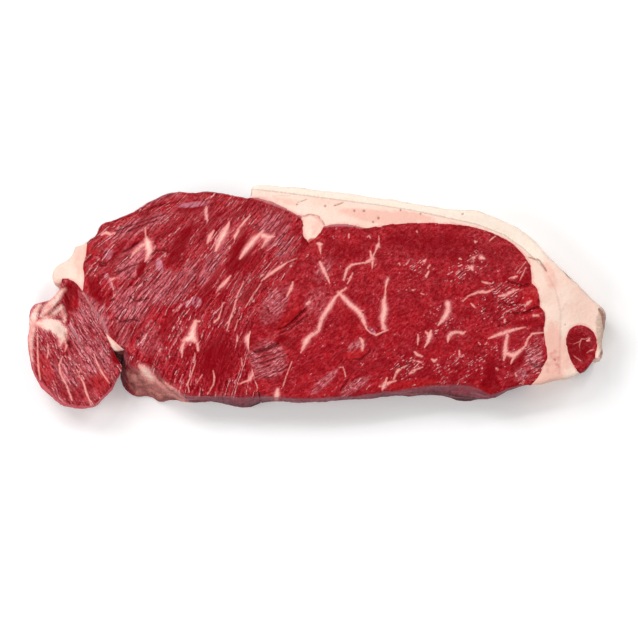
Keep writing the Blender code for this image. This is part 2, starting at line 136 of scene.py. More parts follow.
# Fat streaks: chains of x, y and half width
MARBLING = {
    "rump_muscle": [
        [(-39.4, 32.7, 0.2), (-41.5, 28.3, 1.4), (-44, 24, 1.3), (-45.5, 19.6, 0.6)],
        [(-46.5, 29, 0.3), (-48.3, 26, 0.9), (-49.4, 23, 0.4)],
        [(-23.9, 29.1, 0.3), (-28.2, 24.7, 1.3), (-31.8, 20.3, 1.2), (-34.7, 16, 0.5)],
        [(-24.5, 26.6, 1.2), (-21.5, 25.8, 1.1), (-18.9, 26.2, 0.2)],
        [(-22.5, 24.6, 1), (-24.3, 21.6, 0.5), (-25.1, 20.6, 0.2)],
        [(-30.2, 35.9, 0.3), (-32.9, 32.7, 0.5), (-35.2, 29.5, 0.6), (-37, 26.1, 0.8), (-37.2, 24.5, 0.2)],
        [(-38.9, 7.9, 0.4), (-41.4, 4.8, 0.85), (-44.1, 2.1, 0.6), (-45.2, 0.4, 0.2)],
        [(-9, 16.2, 0.25), (-13, 14.4, 0.3), (-16.4, 12.1, 0.65), (-21.1, 8.9, 0.65), (-25, 5.6, 0.25)],
        [(-49.9, 39.8, 0.5), (-50.1, 36.9, 0.6), (-49.5, 33.3, 0.4)],
        [(-32.9, 5.6, 0.2), (-35.9, -1.1, 0.3), (-38.4, -10.2, 0.2)],
        [(-25, 4.8, 0.2), (-29.2, -1.5, 0.25), (-32.1, -6.4, 0.2)],
        [(-77.5, 30, 0.25), (-77.2, 26.3, 0.4), (-76.3, 22.8, 1.8), (-75.6, 19.5, 1.6), (-76.4, 16.4, 0.8),
         (-77.6, 14.4, 0.25)],
        [(-78.5, 22, 1), (-82, 19, 0.7), (-84, 16, 0.3)],
        [(-79.5, -32.6, 0.9), (-77.3, -34.6, 2.1), (-75, -37, 2), (-71.5, -39.8, 0.9), (-66, -43.8, 0.3)],
        [(-68, -40.2, 0.3), (-65, -42.6, 0.8), (-62, -44.8, 0.7), (-59.3, -46.8, 0.3)],
        [(-97.3, 26.8, 0.45), (-95.3, 27.9, 0.7), (-93, 27, 0.7), (-91.2, 27.9, 0.35)],
        [(-92.9, 6.4, 0.7), (-90, 7.2, 0.3)], [(-92.5, 4.9, 0.25), (-91.6, 2.1, 0.3), (-91.3, -1.5, 0.2)],
        [(-52.6, -12.7, 0.35), (-54.4, -12.6, 0.75), (-55.6, -16.5, 1.4), (-56.5, -20.2, 1.9),
         (-59.6, -21.5, 0.8), (-60.5, -25.1, 0.75), (-60.6, -28.8, 0.3)],
        [(-55.6, -20.2, 1.5), (-53.8, -22.4, 0.7), (-53.2, -25.9, 0.45)],
        [(-29.8, -17.6, 0.55), (-31, -20.6, 1.35), (-30.3, -24.2, 1), (-29.1, -27.4, 0.6),
         (-28.8, -31.9, 0.25), (-28.6, -36.4, 0.55), (-29.9, -39, 0.65)],
        [(-29.9, -39, 0.45), (-32.6, -40, 0.35), (-35.3, -41.2, 0.2)],
        [(-42.2, -4.1, 0.2), (-43.1, -7.9, 0.25), (-44, -11.1, 0.4), (-46, -13, 0.5)],
        [(-36.2, -3.7, 0.2), (-37.7, -7.9, 0.3), (-38.8, -11.1, 0.4), (-40.4, -16.9, 0.2)],
        [(-35.4, -12, 0.2), (-36.9, -16.9, 0.2)], [(-35.7, -19.3, 0.35), (-35.8, -21.5, 0.45)],
        [(-46.5, -34.9, 0.25), (-45.9, -37.8, 0.35), (-46.3, -40.9, 0.3), (-49, -45.3, 0.25)],
        [(-54.7, -27, 0.2), (-54.6, -31.8, 0.25), (-56.5, -37.5, 0.3), (-57.9, -40.9, 0.25),
         (-57.2, -44.5, 0.25)],
        [(-51.3, -36.7, 0.2), (-53.9, -40.5, 0.2)], [(-33.8, -29.2, 0.25), (-33.5, -32.6, 0.25)],
    ],
    "loin_eye": [
        [(10.7, 0.5, 0.55), (8.5, -1.5, 0.65), (6.4, -5, 1), (4.1, -8.4, 1), (2.1, -11.8, 0.9),
         (0.6, -17, 0.8), (-3.1, -19.5, 0.9), (-4.7, -21.5, 1.2), (-6.2, -24.7, 0.65), (-7.3, -27, 0.25)],
        [(9.7, 0.5, 0.65), (12.2, -2, 0.95), (14.9, -5, 1.05), (18.1, -7.6, 1), (20.3, -10.6, 1),
         (21.4, -13.4, 0.8), (22.3, -16.1, 0.4), (24.3, -18.1, 0.3), (26.7, -18.9, 0.5), (29.3, -17.7, 0.35),
         (31.9, -16.7, 0.4)],
        [(18.5, -7.7, 0.45), (21, -7.9, 0.25)], [(10.7, 0.7, 0.55), (13.3, 2.5, 0.45)],
        [(12.2, 6.2, 0.45), (12.9, 8.9, 0.55), (13.7, 11.2, 0.6), (15.6, 13, 0.55), (18.5, 13.6, 0.35),
         (21.7, 14, 0.45), (24, 14.9, 0.8), (25, 15.8, 0.9)],
        [(25.1, 15.3, 0.8), (25.1, 13.5, 0.5), (24.9, 11.2, 0.2)], [(24.6, 15.8, 0.55), (24.2, 19.2, 0.4)],
        [(25.1, 16.2, 0.35), (26.7, 19.9, 0.3), (27.6, 21.5, 0.9), (28.1, 23.6, 0.25), (28, 26.4, 0.2)],
        [(13.7, 4.5, 0.25), (15.2, 7.1, 0.5), (16.3, 9.4, 0.25)],
        [(1.4, 14.3, 0.55), (2.9, 10.9, 0.9), (4.6, 7.6, 0.65), (5.9, 4.5, 0.2)],
        [(0.2, 23, 0.45), (1.4, 22.5, 0.9), (2.5, 22.6, 0.35)], [(1.4, 22.4, 0.8), (1.7, 18.1, 0.2)],
        [(32, 6.7, 0.6), (31.3, 4.5, 0.6), (30.9, 2.1, 0.3), (30.8, -0.5, 0.4), (30.2, -3.8, 0.9),
         (30.5, -7.6, 1.25), (29.7, -11, 1.3), (29.7, -13.8, 0.8), (30.2, -15.9, 1)],
        [(58.9, -4.5, 1.1), (59.2, -7.3, 1), (58, -10.1, 1.1), (56.2, -12.5, 0.8), (54.4, -14.6, 0.3)],
        [(51.3, -17, 0.45), (50.7, -19.3, 1.1), (50.1, -21.5, 0.8), (48.3, -24.6, 0.25)],
        [(48.8, -17.4, 0.35), (50.4, -19.3, 0.7)],
        [(58.7, -22.1, 0.3), (59.2, -19.7, 0.8), (60.3, -18.3, 0.85), (62.8, -17.5, 0.6), (65.6, -18.1, 0.7),
         (66.8, -17.3, 0.3)],
        [(77.1, -20.5, 0.25), (80.4, -19.1, 0.7), (84.4, -17.7, 0.85), (88.4, -16.4, 0.7), (94, -15.2, 0.2)],
        [(85.6, -18.8, 0.7), (84.8, -22.9, 0.75), (84.6, -26, 1), (83.9, -30.1, 0.45)],
        [(84.7, -27, 0.8), (88.4, -28.1, 1.1), (90.7, -26.5, 0.75), (93.5, -24.1, 0.5), (94.8, -20.5, 0.45),
         (96.8, -18.2, 0.45), (101.7, -17.7, 0.3)],
        [(88.7, -28.2, 0.9), (87, -31.8, 0.25)],
        [(65.7, -3.6, 0.25), (68.1, -1.2, 0.35), (72.1, 0.4, 0.55), (74.6, 0.9, 0.7), (76.1, 0.4, 0.55),
         (79.8, 2.1, 0.25)],
        [(81.8, -1.2, 0.35), (85, -0.8, 0.7), (88.3, 1.2, 0.55), (91, 2.1, 0.25)],
        [(93.6, -5.6, 0.4), (95.2, -4.3, 0.75), (96.6, -3.2, 0.35)],
        [(86.7, 6.9, 0.25), (88.8, 7.3, 0.7), (90.3, 8, 0.35)],
        [(90.3, 9.4, 0.25), (92, 11.7, 0.2), (94.4, 14.7, 0.2)],
        [(91.5, 6.1, 0.2), (92.9, 8.9, 0.25), (94.4, 12.2, 0.2)], [(70.4, 16.1, 0.7), (71.1, 16.5, 0.6)],
        [(74.3, 16.5, 1), (75.4, 16, 0.55)], [(67.9, 11.6, 0.3), (69.8, 11.9, 1), (70.2, 11, 0.6)],
        [(64.4, 15.9, 0.45), (65.3, 15.6, 0.25)], [(71.6, 23.7, 0.55), (72.3, 23.7, 0.35)],
        [(74.4, 5.3, 0.4), (76.2, 4.8, 0.5), (78.2, 4.6, 0.3)],
        [(78, 24.1, 0.25), (79.5, 25.6, 0.35), (80.9, 26.5, 0.25)], [(48.5, 14.7, 0.7), (49.2, 15.5, 0.35)],
        [(50.1, 11.5, 0.45), (51, 12.9, 0.35)], [(49.2, 7.7, 0.55), (50.4, 10, 0.4)],
        [(69.3, -4.5, 0.25), (70.2, -5.4, 0.5), (71.3, -6.5, 0.25)],
        [(84.5, -11.8, 0.35), (84.5, -13.3, 0.35)], [(97.6, -10, 0.65), (99.7, -10, 0.45)],
        [(63.9, -26, 0.4), (64.1, -28.6, 0.45)], [(72.6, -22.2, 0.3), (73.4, -23.1, 0.3)],
        [(75.6, -23.1, 0.3), (76.4, -22.2, 0.25)], [(80.5, -33.9, 0.4), (81.2, -34.6, 0.35)],
        [(89.2, -36.3, 0.55), (89.5, -37.3, 0.45)], [(92.6, -39.4, 0.4), (92.3, -40.9, 0.35)],
        [(51.6, -29.9, 0.4), (52.7, -30.7, 0.6), (53.9, -29.8, 0.3)],
        [(19.4, -20.2, 0.45), (20.4, -21.5, 0.75), (20.5, -23.8, 0.7), (20.4, -25.8, 0.5)],
        [(45.4, -18.6, 0.25), (45.5, -20.9, 0.5), (45.2, -23.2, 0.25)],
        [(43.8, -26.5, 0.4), (45.2, -27.9, 0.6), (47.2, -28.5, 0.4)],
        [(43.4, -30.4, 0.35), (45.2, -30.7, 0.45), (47.1, -31.4, 0.3)],
        [(41.7, -36.2, 0.45), (43.1, -35.3, 0.7), (44.4, -34.4, 0.45), (47.4, -33.4, 0.25)],
        [(34.4, -39, 0.3), (35.5, -36.4, 0.5), (36.5, -34.8, 0.65), (38.2, -33.7, 0.3), (40.4, -32.6, 0.25)],
        [(31.4, -38.1, 0.35), (30.8, -40, 0.6), (30.1, -41.8, 1), (29.4, -43.6, 0.35)],
        [(28.1, -42.1, 0.35), (30.1, -41.4, 0.8), (32.8, -40.3, 0.55), (35.5, -39.4, 0.25)],
        [(-3.3, -3.9, 0.65), (-4.4, -4.7, 0.7)], [(-10.8, 5.3, 0.35), (-11.6, 2.1, 0.8), (-13.4, -1.1, 0.35)],
        [(-29.1, -38.2, 0.45), (-27.2, -40.9, 0.35), (-26.6, -43, 0.35)],
        [(-11.1, -30.7, 0.2), (-12.7, -34.6, 0.25), (-14, -38.2, 0.25), (-15.2, -42.3, 0.25)],
        [(-17.5, -43.4, 0.7), (-17.8, -45.4, 1.2), (-18.3, -47.9, 0.9)],
        [(14.5, 27.2, 0.25), (14.4, 25.4, 0.3)], [(22.9, 25.7, 0.25), (23.5, 26.5, 0.25), (24.3, 25.2, 0.25)],
        [(45.2, 28.5, 0.4), (45.4, 27.9, 0.25)], [(37.1, 13.7, 0.35), (37.5, 13, 0.25)],
        [(43.2, 1.4, 0.4), (44.2, 1.6, 0.25)], [(46.9, -0.2, 0.3), (48.2, -0.6, 0.25)],
        [(9.9, -33.4, 0.2), (11.7, -33.3, 0.25), (12.4, -35.1, 0.25), (12.9, -37.5, 0.25)],
    ],
    "tail_muscle": [
        [(113.1, -22.3, 0), (115.3, -22.8, 0.08), (117.2, -21.9, 0.15), (118.5, -21.6, 0.3),
         (119.2, -20.2, 0.2), (120.7, -20.4, 0.12), (122.8, -19.6, 0.15)],
        [(122.9, -19.7, 0.2), (122.4, -20.9, 0.6), (121.4, -21.1, 0.3)],
        [(118.5, -21.5, 0.25), (118, -23.5, 0.15), (118.4, -26, 0)],
        [(115.3, -28, 0.1), (116.7, -29.1, 0.2), (118.6, -30.4, 0.2)],
        [(121.4, -26.6, 0.15), (123.4, -25.4, 0.3), (124.6, -25.2, 0.15)],
    ],
    "flap": [
        [(-125.4, -13.5, 1.4), (-122, -13.8, 2.7), (-118, -14.4, 3), (-115.4, -16.8, 3), (-114.3, -20, 2.1),
         (-115.4, -23, 0.8)],
        [(-125.6, -11.1, 0.25), (-125.5, -21.1, 0.35), (-125.2, -29.7, 0.4), (-124.2, -38.7, 0.3)],
        [(-114.4, -28.3, 0.3), (-115.7, -32.2, 0.5), (-115.1, -36.1, 0.4), (-112.2, -41.5, 0.4),
         (-109.7, -48.1, 0.4)],
        [(-107.9, -34.2, 0.25), (-104.5, -40.5, 0.45), (-103, -45.4, 0.5), (-101, -50.3, 0.35)],
        [(-100.2, -27, 0.25), (-98.6, -31.5, 0.4), (-96.6, -35.5, 0.45), (-92.9, -40.5, 0.25)],
        [(-105.1, 0.7, 0.25), (-102.5, -4.3, 0.3), (-99.1, -10.1, 0.5), (-97, -12.5, 0.35),
         (-94.7, -14.7, 0.25)],
        [(-97.7, -9.3, 0.3), (-95.6, -13.3, 0.5), (-93.5, -17.9, 0.6), (-92, -21.5, 0.6), (-91, -24, 0.35)],
        [(-120.9, -23.3, 0.2), (-120.6, -26.5, 0.45), (-121.2, -29.2, 0.25)],
        [(-113.4, -26, 0.25), (-112.6, -23.3, 0.55), (-113.1, -21.1, 0.35)],
    ],
}

# Soft patches on the cut faces, by what they change: x, y, radius along, radius across, turn in degrees and
# strength
PATCHES = {
    # Smooth wine red
    "deep": [
        (-57, 40, 8, 3, 12, 0.7), (-62, 22, 13, 3, 62, 0.8), (-79, 12, 2, 5, -20, 0.8),
        (-34, 18, 13, 4.5, 60, 0.8), (-50, -2, 14, 2.5, 70, 0.5), (78, -42, 4.5, 5, 0, 1),
        (78, -34, 3, 8, 0, 0.6), (55, 22, 26, 8, -10, 0.5), (-4, 26, 2.5, 5, -30, 0.9),
        (90, -31, 3, 7, -30, 0.6), (-90, -28, 3, 4, 0, 0.9), (-111, -1, 8, 3.2, -80, 1),
        (-45, -30, 14, 9, 80, 0.65), (14, -12, 8, 6, 0, 0.4), (96, 14, 6, 10, 0, 0.3),
        (-14, -22, 3, 6, 60, 0.6), (-106, -45, 4, 4, 0, 0.5), (-100, 2, 8, 3, -70, 0.7),
        (117, -24, 7, 8, 0, 0.8), (12, 20, 10, 5, 0, 0.5), (82, 17, 8, 5, -30, 0.5),
        (-38, 38, 12, 3, 20, 0.45),
    ],
    # Warm red of thin, wet lean, in places a painted highlight round the rim of a hollow
    "bright": [
        (-104, 2, 9, 2.4, -75, 0.4), (-102, 20, 4, 3, 0, 0.6), (-13, -11.5, 10, 2.2, 48, 0.6),
        (-28, -43, 9, 2.6, 10, 0.3), (11, -6, 8, 5, -60, 0.4), (-109, -4, 5, 2, -70, 0.5),
        (96.5, -1, 5, 4, 60, 0.75), (43, -41, 14, 2.4, 8, 0.6), (-122, -34, 4, 10, 20, 0.55),
        (-27, 25, 3, 3, 30, 0.8), (-36, 46, 9, 1.8, -8, 0.7), (-97, -39, 5, 6, 0, 0.55),
        (70, -44, 14, 2.4, 0, 0.4), (-66, 40, 18, 4, 20, 0.3), (20, -16, 6, 5, 0, 0.3),
        (-19, 4, 3, 4, 60, 0.4), (17.5, -27.5, 6, 2.6, 12, 0.7),
    ],
    # Bluish sheen of thin membrane
    "lilac": [
        (-71, 13, 1.6, 3.4, 10, 0.9), (-58, -5, 1.6, 1.8, 0, 0.7), (-54, -4, 2.4, 2.4, 0, 0.9),
        (-56, 41, 8, 1.5, 8, 0.7), (-50, 36, 1, 4, 5, 0.9), (-94, 18, 3, 3, 0, 0.5),
        (-93, 5, 1.2, 9, 32, 0.5), (-109, -17, 1, 5, 35, 0.7), (92, -36, 2.5, 2, 0, 0.5),
        (25, -17, 1, 3, 40, 0.6),
    ],
    # Open grain: pale bundles, partly painted sheen, with painted shade in the gaps between them
    "woven": [
        (-83, 14, 11, 7, 38, 0.75), (-84, -6, 9, 10, 40, 0.75), (-72, 3, 10, 8, 50, 0.7),
        (-80, 31, 15, 4, 25, 0.7), (-60, 5, 14, 5, 55, 0.6), (-45, 34, 12, 5, 45, 0.3),
        (-20, 30, 10, 7, 55, 0.8), (-48, 12, 12, 4, 60, 0.6), (-75, -22, 8, 8, 60, 0.5),
        (-87.5, -17, 4, 7, 0, 1), (-35, 2, 9, 3, 60, 0.4), (-22, -30, 8, 9, 20, 1), (-19, -5, 10, 5, 60, 1),
        (0, -3, 9, 7, 60, 0.45), (3, 10, 9, 4, 60, 0.5), (3, -40, 8, 2, 42, 1), (17, -42, 8, 2.4, 35, 1),
        (17, -24, 3.5, 2.2, 40, 1), (97, -29, 5, 6, 0, 0.7), (92, -36, 6, 5, 20, 0.45),
        (100, -20, 3, 6, 0, 0.45), (-103, -8, 12, 7, -50, 1), (-102, -28, 12, 9, -55, 1),
        (-113, -36, 10, 5, -60, 0.8), (-15, 20, 7, 4, 60, 0.5), (-26, -36, 5, 3, 20, 0.8),
        (-70, 44, 16, 2, 22, 0.5),
    ],
    # Short glinting strokes of fibre
    "strokes": [
        (-60, -15, 22, 10, 60, 0.6), (-40, 25, 22, 10, 60, 0.6), (-70, 30, 18, 8, 30, 0.5),
        (-75, -28, 12, 10, 60, 0.45), (44, 12, 7, 6, 60, 0.7), (68, 13, 13, 7, 40, 0.9),
        (84, -4, 15, 12, 25, 0.7), (66, -33, 28, 9, 20, 0.6), (97, -30, 6, 9, 0, 0.9),
        (40, -34, 12, 8, 30, 0.6), (8, 22, 7, 5, 50, 0.6), (90, -38, 12, 6, 20, 0.6),
        (56, -12, 14, 9, 35, 0.55), (20, -32, 12, 4, 35, 0.4), (40, -8, 8, 8, 40, 0.3),
        (97, 8, 4, 9, 60, 0.6), (-34, -38, 14, 7, 70, 0.5),
    ],
}

# Beige film with fat under it: chains of x, y and half width
FILMS = [
    [(-85, -35, 1.8), (-82, -37.5, 4.4), (-78, -40, 5.8), (-73, -42.5, 5.4), (-63, -48, 3.2),
     (-56, -50.5, 1.2)],
    [(-114, 2.6, 0.5), (-117.5, -1.8, 1.7), (-121.5, -7, 1.8), (-123.5, -10, 1)],
    [(-122.5, -11, 1), (-118.6, -9.4, 0.9), (-115, -6, 0.9), (-114, -9.5, 1), (-113.4, -12, 0.5)],
    [(-125, -5, 0.8), (-127.6, -10, 1.8), (-128.4, -15, 2), (-128.6, -21, 1.2), (-128, -30, 0.4)],
]

# Thin greyish membranes along the rims: chains of x, y and half width
MEMBRANES = [
    [(-28.5, 44.4, 0.8), (-23, 43.6, 1.5), (-18.8, 42.1, 1.7), (-12.1, 39.2, 1.5), (-7, 35.8, 1),
     (-5.5, 33, 0.4)],
    [(3, 31, 0.7), (10.4, 31.8, 0.9), (17.1, 31.3, 0.9), (21, 30, 0.4)],
    [(-111.5, -14, 0.3), (-109.5, -17, 0.8), (-107.6, -20, 0.6), (-105.6, -24, 0.3)],
    [(-105.5, 1, 0.4), (-101, -6, 0.6), (-96, -13, 0.6), (-93.5, -20, 0.5)],
]

# Creases of the cut faces: points, depth and half width
CREASES = [
    ([(-98.6, 14.8), (-96.5, 13.6), (-94.4, 14)], 1.3, 0.9),
    ([(-92.4, 9), (-87.5, 10.4), (-83.9, 12.2), (-78.8, 14.1)], 0.4, 0.5),
    ([(-88.9, 18.1), (-83.1, 21.3), (-78.8, 24.6)], 0.4, 0.5),
    ([(-75.2, 17), (-72.3, 19.2), (-68.7, 19.5), (-65.2, 18.4)], 0.25, 0.42),
    ([(-85.3, -0.5), (-81.7, -3.4), (-78.1, -3), (-74.5, -2)], 0.4, 0.48),
    ([(-91.4, -10), (-88.1, -12.9), (-82.4, -11.8), (-78.8, -12.9)], 0.4, 0.5),
    ([(-91.1, -7.6), (-86, -6.2)], 0.25, 0.42),
    ([(-95.1, 26.5), (-83.9, 31.1), (-74.9, 34.3), (-66, 37.4)], 0.32, 0.48),
    ([(-88, 27), (-78, 31.5), (-68, 35)], 0.25, 0.42),
    ([(-80, 37.5), (-70, 41), (-60, 43)], 0.25, 0.42),
    ([(-29, -26.4), (-24.6, -25.7), (-21.1, -24.6), (-18.2, -23.5), (-16.7, -22.1)], 1.1, 0.6),
    ([(-18.5, -16.6), (-13.9, -14.8), (-10.3, -11.9), (-7.4, -9), (-3.8, -6.1)], 0.9, 0.5),
    ([(-17.9, -17.8), (-12.5, -16.4), (-8, -12.8), (-3.1, -9.2)], 0.4, 0.48),
    ([(-29.1, -29.9), (-24.7, -28.5), (-18.8, -27.2), (-12.5, -24.9)], 0.32, 0.42),
    ([(-28.9, -32.2), (-24.6, -31.5), (-20.2, -29.9), (-15.7, -28.5), (-11.6, -27.2)], 0.32, 0.42),
    ([(-28.7, -34.4), (-23.8, -33.5), (-19.7, -31.9)], 0.25, 0.42),
    ([(-21.1, -35.8), (-16.6, -35.1), (-11.2, -32.2)], 0.25, 0.42),
    ([(-24.6, -38.1), (-20.2, -37.6)], 0.25, 0.42),
    ([(-25.5, -4.4), (-22, -6.7), (-21.1, -10.8)], 0.2, 0.35),
    ([(14.8, -29.8), (20, -29.8), (23.3, -26.8), (24.3, -24.9)], 0.32, 0.48),
    ([(10, -44.4), (12.5, -41.5), (15.3, -37.6)], 0.32, 0.5),
    ([(34.5, -33.7), (38.8, -33.2), (42.7, -30.8)], 0.25, 0.48),
    ([(85.4, 5), (88, 5.1), (93.4, 3.5), (96.6, 5.1)], 0.55, 0.5),
    ([(80.2, -3.6), (86.5, -5.2), (92, -4)], 0.25, 0.42),
    ([(87.2, -9.1), (93.4, -8.7), (97.4, -6.8), (100.6, -5.8)], 0.7, 0.45),
    ([(99.6, -31.8), (98, -32.8), (95.8, -31.6), (95.4, -28.8)], 0.32, 0.42),
    ([(96, -33), (100.5, -33.5), (103.6, -30.3)], 0.4, 0.5),
    ([(80.5, -15), (84, -14.6), (88, -12)], 0.25, 0.42),
    ([(-113.6, -16.8), (-111.8, -21), (-110, -25)], 0.9, 0.6),
    ([(-121, -9), (-117.4, -11), (-113.4, -11.6)], 0.4, 0.5),
    ([(-114.5, -1), (-117.5, -6), (-120.5, -8)], 0.32, 0.5),
]

# Raised folds and lobes, and broad dips where the height is less than 0: points, height and half width
FOLDS = [
    ([(-114.9, 2.9), (-118, -2.1), (-121.6, -7.6)], 0.8, 1.5),
    ([(-123.4, -9.4), (-118.9, -6.7), (-115.3, -5.3), (-114, -9)], 0.6, 0.9),
    ([(-112, -12.5), (-109.5, -15.5), (-107.6, -19), (-105.5, -23)], 0.7, 1.1),
    ([(-126, -8), (-127.5, -14), (-127.8, -24), (-125.6, -35)], 0.4, 1.2),
    ([(-111.5, 3), (-110.4, -3.5), (-110.8, -8)], -1.1, 2.6),
    ([(-124, -13), (-119, -15.5), (-116, -20)], 0.5, 2.6),
    ([(-19, -14.6), (-14, -12), (-9, -7.5)], 0.4, 1.2),
    ([(-26, -23.4), (-20, -21.5), (-16, -18.6)], 0.6, 1.3),
    ([(97.8, -29.8), (98.2, -30.2)], 0.7, 2.1),
    ([(95, 0), (99, -2.5)], 0.5, 2.2),
    ([(-103.6, 13), (-102, 2), (-97, -8)], 0.7, 3),
    ([(88, -12), (96, -11), (101, -9)], 0.4, 2),
]

# Each lean piece's slot, the kind of its outer side and what it shows of its grain: how much shorter its
# pattern is along the grain than the coarsest one's, and how fine and how strong its mottling is; the length,
# spacing and half width of its long lines, short strokes and slits; how strongly these, the open grain with
# its painted sheen and the painted shade beside the lines show all over it; and the height of its ridges
LEAN_LOOKS = {
    "rump_muscle": {
        "slot": "coarse_lean", "sides": "skin", "shortness": 1.0, "fineness": 1.0, "mottle": 0.5,
        "line": (20, 2.6, 0.19), "stroke": (3.6, 1.3, 0.23), "slit": (5, 1.6, 0.2),
        "lines": 1.0, "strokes": 0.45, "slits": 0.9, "woven": 0.12, "shade": 0.7, "ridges": 0.22,
    },
    "loin_eye": {
        "slot": "fine_lean", "sides": "skin", "shortness": 3.0, "fineness": 0.65, "mottle": 0.27,
        "line": (2.6, 1.8, 0.2), "stroke": (1.6, 1.1, 0.22), "slit": (3, 1.2, 0.17),
        "lines": 0.5, "strokes": 0.3, "slits": 0.6, "woven": 0.0, "shade": 0.5, "ridges": 0.08,
    },
    "tail_muscle": {
        "slot": "tail_lean", "sides": "skin", "shortness": 3.0, "fineness": 0.7, "mottle": 0.32,
        "line": (5, 4.0, 0.2), "stroke": (1.8, 1.2, 0.22), "slit": (1.6, 1.3, 0.2),
        "lines": 0.0, "strokes": 0.4, "slits": 0.6, "woven": 0.0, "shade": 0.45, "ridges": 0.06,
    },
    "flap": {
        "slot": "flap_lean", "sides": "rim", "shortness": 1.3, "fineness": 1.0, "mottle": 0.58,
        "line": (12, 2.8, 0.19), "stroke": (3, 1.3, 0.21), "slit": (3, 1.4, 0.2),
        "lines": 0.6, "strokes": 0.6, "slits": 0.75, "woven": 0.4, "shade": 0.6, "ridges": 0.25,
    },
}

# Marks in the fat: the line between the cap's two layers, fainter lines, cracks and specks
CAP_LAYERS = [
    (-30, 48.1), (-21, 47.3), (-5, 45.3), (13, 42.9), (29, 40.7), (43, 38.3), (61, 34.3), (73, 31.7),
    (85, 27.1), (93, 21.3), (99.6, 14.7), (104, 9.9),
]
FAINT_LINES = [
    [(104.4, 8, 0.2), (107.5, 2, 0.25), (109.8, -8.4, 0.3), (109.4, -18.6, 0.35), (108.7, -36, 0.3)],
    [(109.8, -8.4, 0.2), (112.3, -4.4, 0.15)], [(-20, 45, 0.2), (-12, 45.2, 0.15)],
    [(60, 33, 0.1), (72, 29, 0.2), (84, 22.8, 0.2), (94, 15.2, 0.2)],
]
CRACKS = [
    [(95.8, 16.9, 0.15), (100.5, 15.3, 0.3), (103.6, 10.6, 0.2)],
    [(-8.5, 42, 0.1), (-5.6, 43, 0.18), (-4.4, 43.6, 0.1)],
    [(8.1, 40.6, 0.15), (10.8, 41.7, 0.22), (12.2, 42.2, 0.1)],
    [(111.4, 10.6, 0.2), (113.6, 8.3, 0.4), (114.6, 7, 0.2)],
    [(-6.6, 35.2, 0.05), (-3.5, 36.4, 0.12), (0.2, 35.9, 0.12), (2.4, 34, 0.2), (3.4, 31.6, 0.2)],
    [(127.6, -7, 0.6), (129.4, -9.6, 0.9), (130, -16, 0.35), (129.2, -25, 0.4), (127.6, -28.5, 0.8)],
]
SPECKS = [
    (3.9, 40.4, 0.5), (17.1, 38.1, 0.4), (21.4, 38.1, 0.5), (28, 34.6, 0.6), (25.6, 32.8, 0.4),
    (66, 36.4, 0.4), (-9, 41, 0.3), (38, 38.4, 0.35), (47, 36.6, 0.3), (82, 22.6, 0.3), (107, -30, 0.35),
    (112, -14, 0.25),
]
FAT_PATCHES = {
    # Pinker fat
    "pink": [
        (30, 35, 20, 3.4, -8, 0.9), (44, 35.4, 10, 2, -12, 0.8), (100, -39, 12, 5, 20, 1),
        (105, 8, 3, 8, 20, 0.6), (106, -26, 5, 14, 0, 0.9), (111.6, -27, 3, 9, 0, 0.65),
        (-14, 42.6, 8, 2, -10, 0.5), (0, 29, 3, 5, 0, 0.5), (-105, 16, 6, 9, 0, 0.6),
    ],
    # Drier tan rind
    "rind": [(129, -16, 3.2, 12, 0, 1), (115, 10, 10, 1.6, -45, 0.4), (-110, 14, 5, 3, 0, 0.25)],
    # Fat that thins out over red
    "red": [(-1.6, 23.6, 2.6, 2, 0, 1), (94, -40.6, 5, 1.6, 25, 0.6), (106, -31, 4, 10, -10, 0.3)],
}
# Each fat piece's slot and the colour of its outer side, which is dried rind but on the wedge a near-black
# red painted shade
FAT_LOOKS = {
    "fat_cap": ("cap_fat", "rind"),
    "seam_fat": ("seam_fat", "rind"),
    "side_fat": ("side_fat", "rind"),
    "fat_wedge": ("seam_fat", "stain"),
}


def tint(red, green, blue):
    """A colour as seen on a screen, from 0 to 255, turned into the linear one that shaders take."""
    shares = [channel / 255 for channel in (red, green, blue)]
    return tuple(share / 12.92 if share < 0.04045 else ((share + 0.055) / 1.055) ** 2.4 for share in shares)


def smooth(value):
    value = np.clip(value, 0, 1)
    return value * value * (3 - 2 * value)


MIXING = np.random.default_rng(11).permutation(256)
SLOPES = np.random.default_rng(12).normal(size=(256, 3))
SLOPES /= np.linalg.norm(SLOPES, axis=1)[:, None]
NOISE_GAIN = 1.5
SEED_STEP = 37


def noise(points, seed=0):
    """Smooth noise, about -1 to 1, at points measured in wavelengths."""
    cell = np.floor(points).astype(int)
    part = points - cell
    blend = part**3 * (part * (part * 6 - 15) + 10)
    total = np.zeros(len(points))
    for corner in itertools.product((0, 1), repeat=3):
        x, y, z = (cell + corner).T
        number = MIXING[(MIXING[(MIXING[(x + SEED_STEP * seed) & 255] + y) & 255] + z) & 255]
        rise = np.sum(SLOPES[number] * (part - corner), axis=1)
        total += rise * np.prod(np.where(corner, blend, 1 - blend), axis=1)
    return NOISE_GAIN * total


def uneven(points, layers):
    """The sum of layers of smooth noise, each with its own height and wavelengths."""
    return sum(height * noise(points / np.array(lengths, float), seed) for height, lengths, seed in layers)


# Making a solid's surface finer


def solid_of(node):
    """A node's corners in millimetres, each once, and its triangles."""
    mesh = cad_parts[node].data
    mesh.calc_loop_triangles()
    places = np.empty(len(mesh.vertices) * 3, np.float32)
    mesh.vertices.foreach_get("co", places)
    triangles = np.empty(len(mesh.loop_triangles) * 3, np.int32)
    mesh.loop_triangles.foreach_get("vertices", triangles)
    places = np.round(places.reshape(-1, 3).astype(float) / MM, 3)
    points, number = np.unique(places, axis=0, return_inverse=True)
    triangles = number.reshape(-1)[triangles.reshape(-1, 3)]
    whole = (triangles != np.roll(triangles, 1, axis=1)).all(axis=1)
    return points, triangles[whole]


def facings(points, triangles):
    """Each triangle's normal, as long as twice its area."""
    first, second, third = (points[triangles[:, corner]] for corner in range(3))
    return np.cross(second - first, third - first)


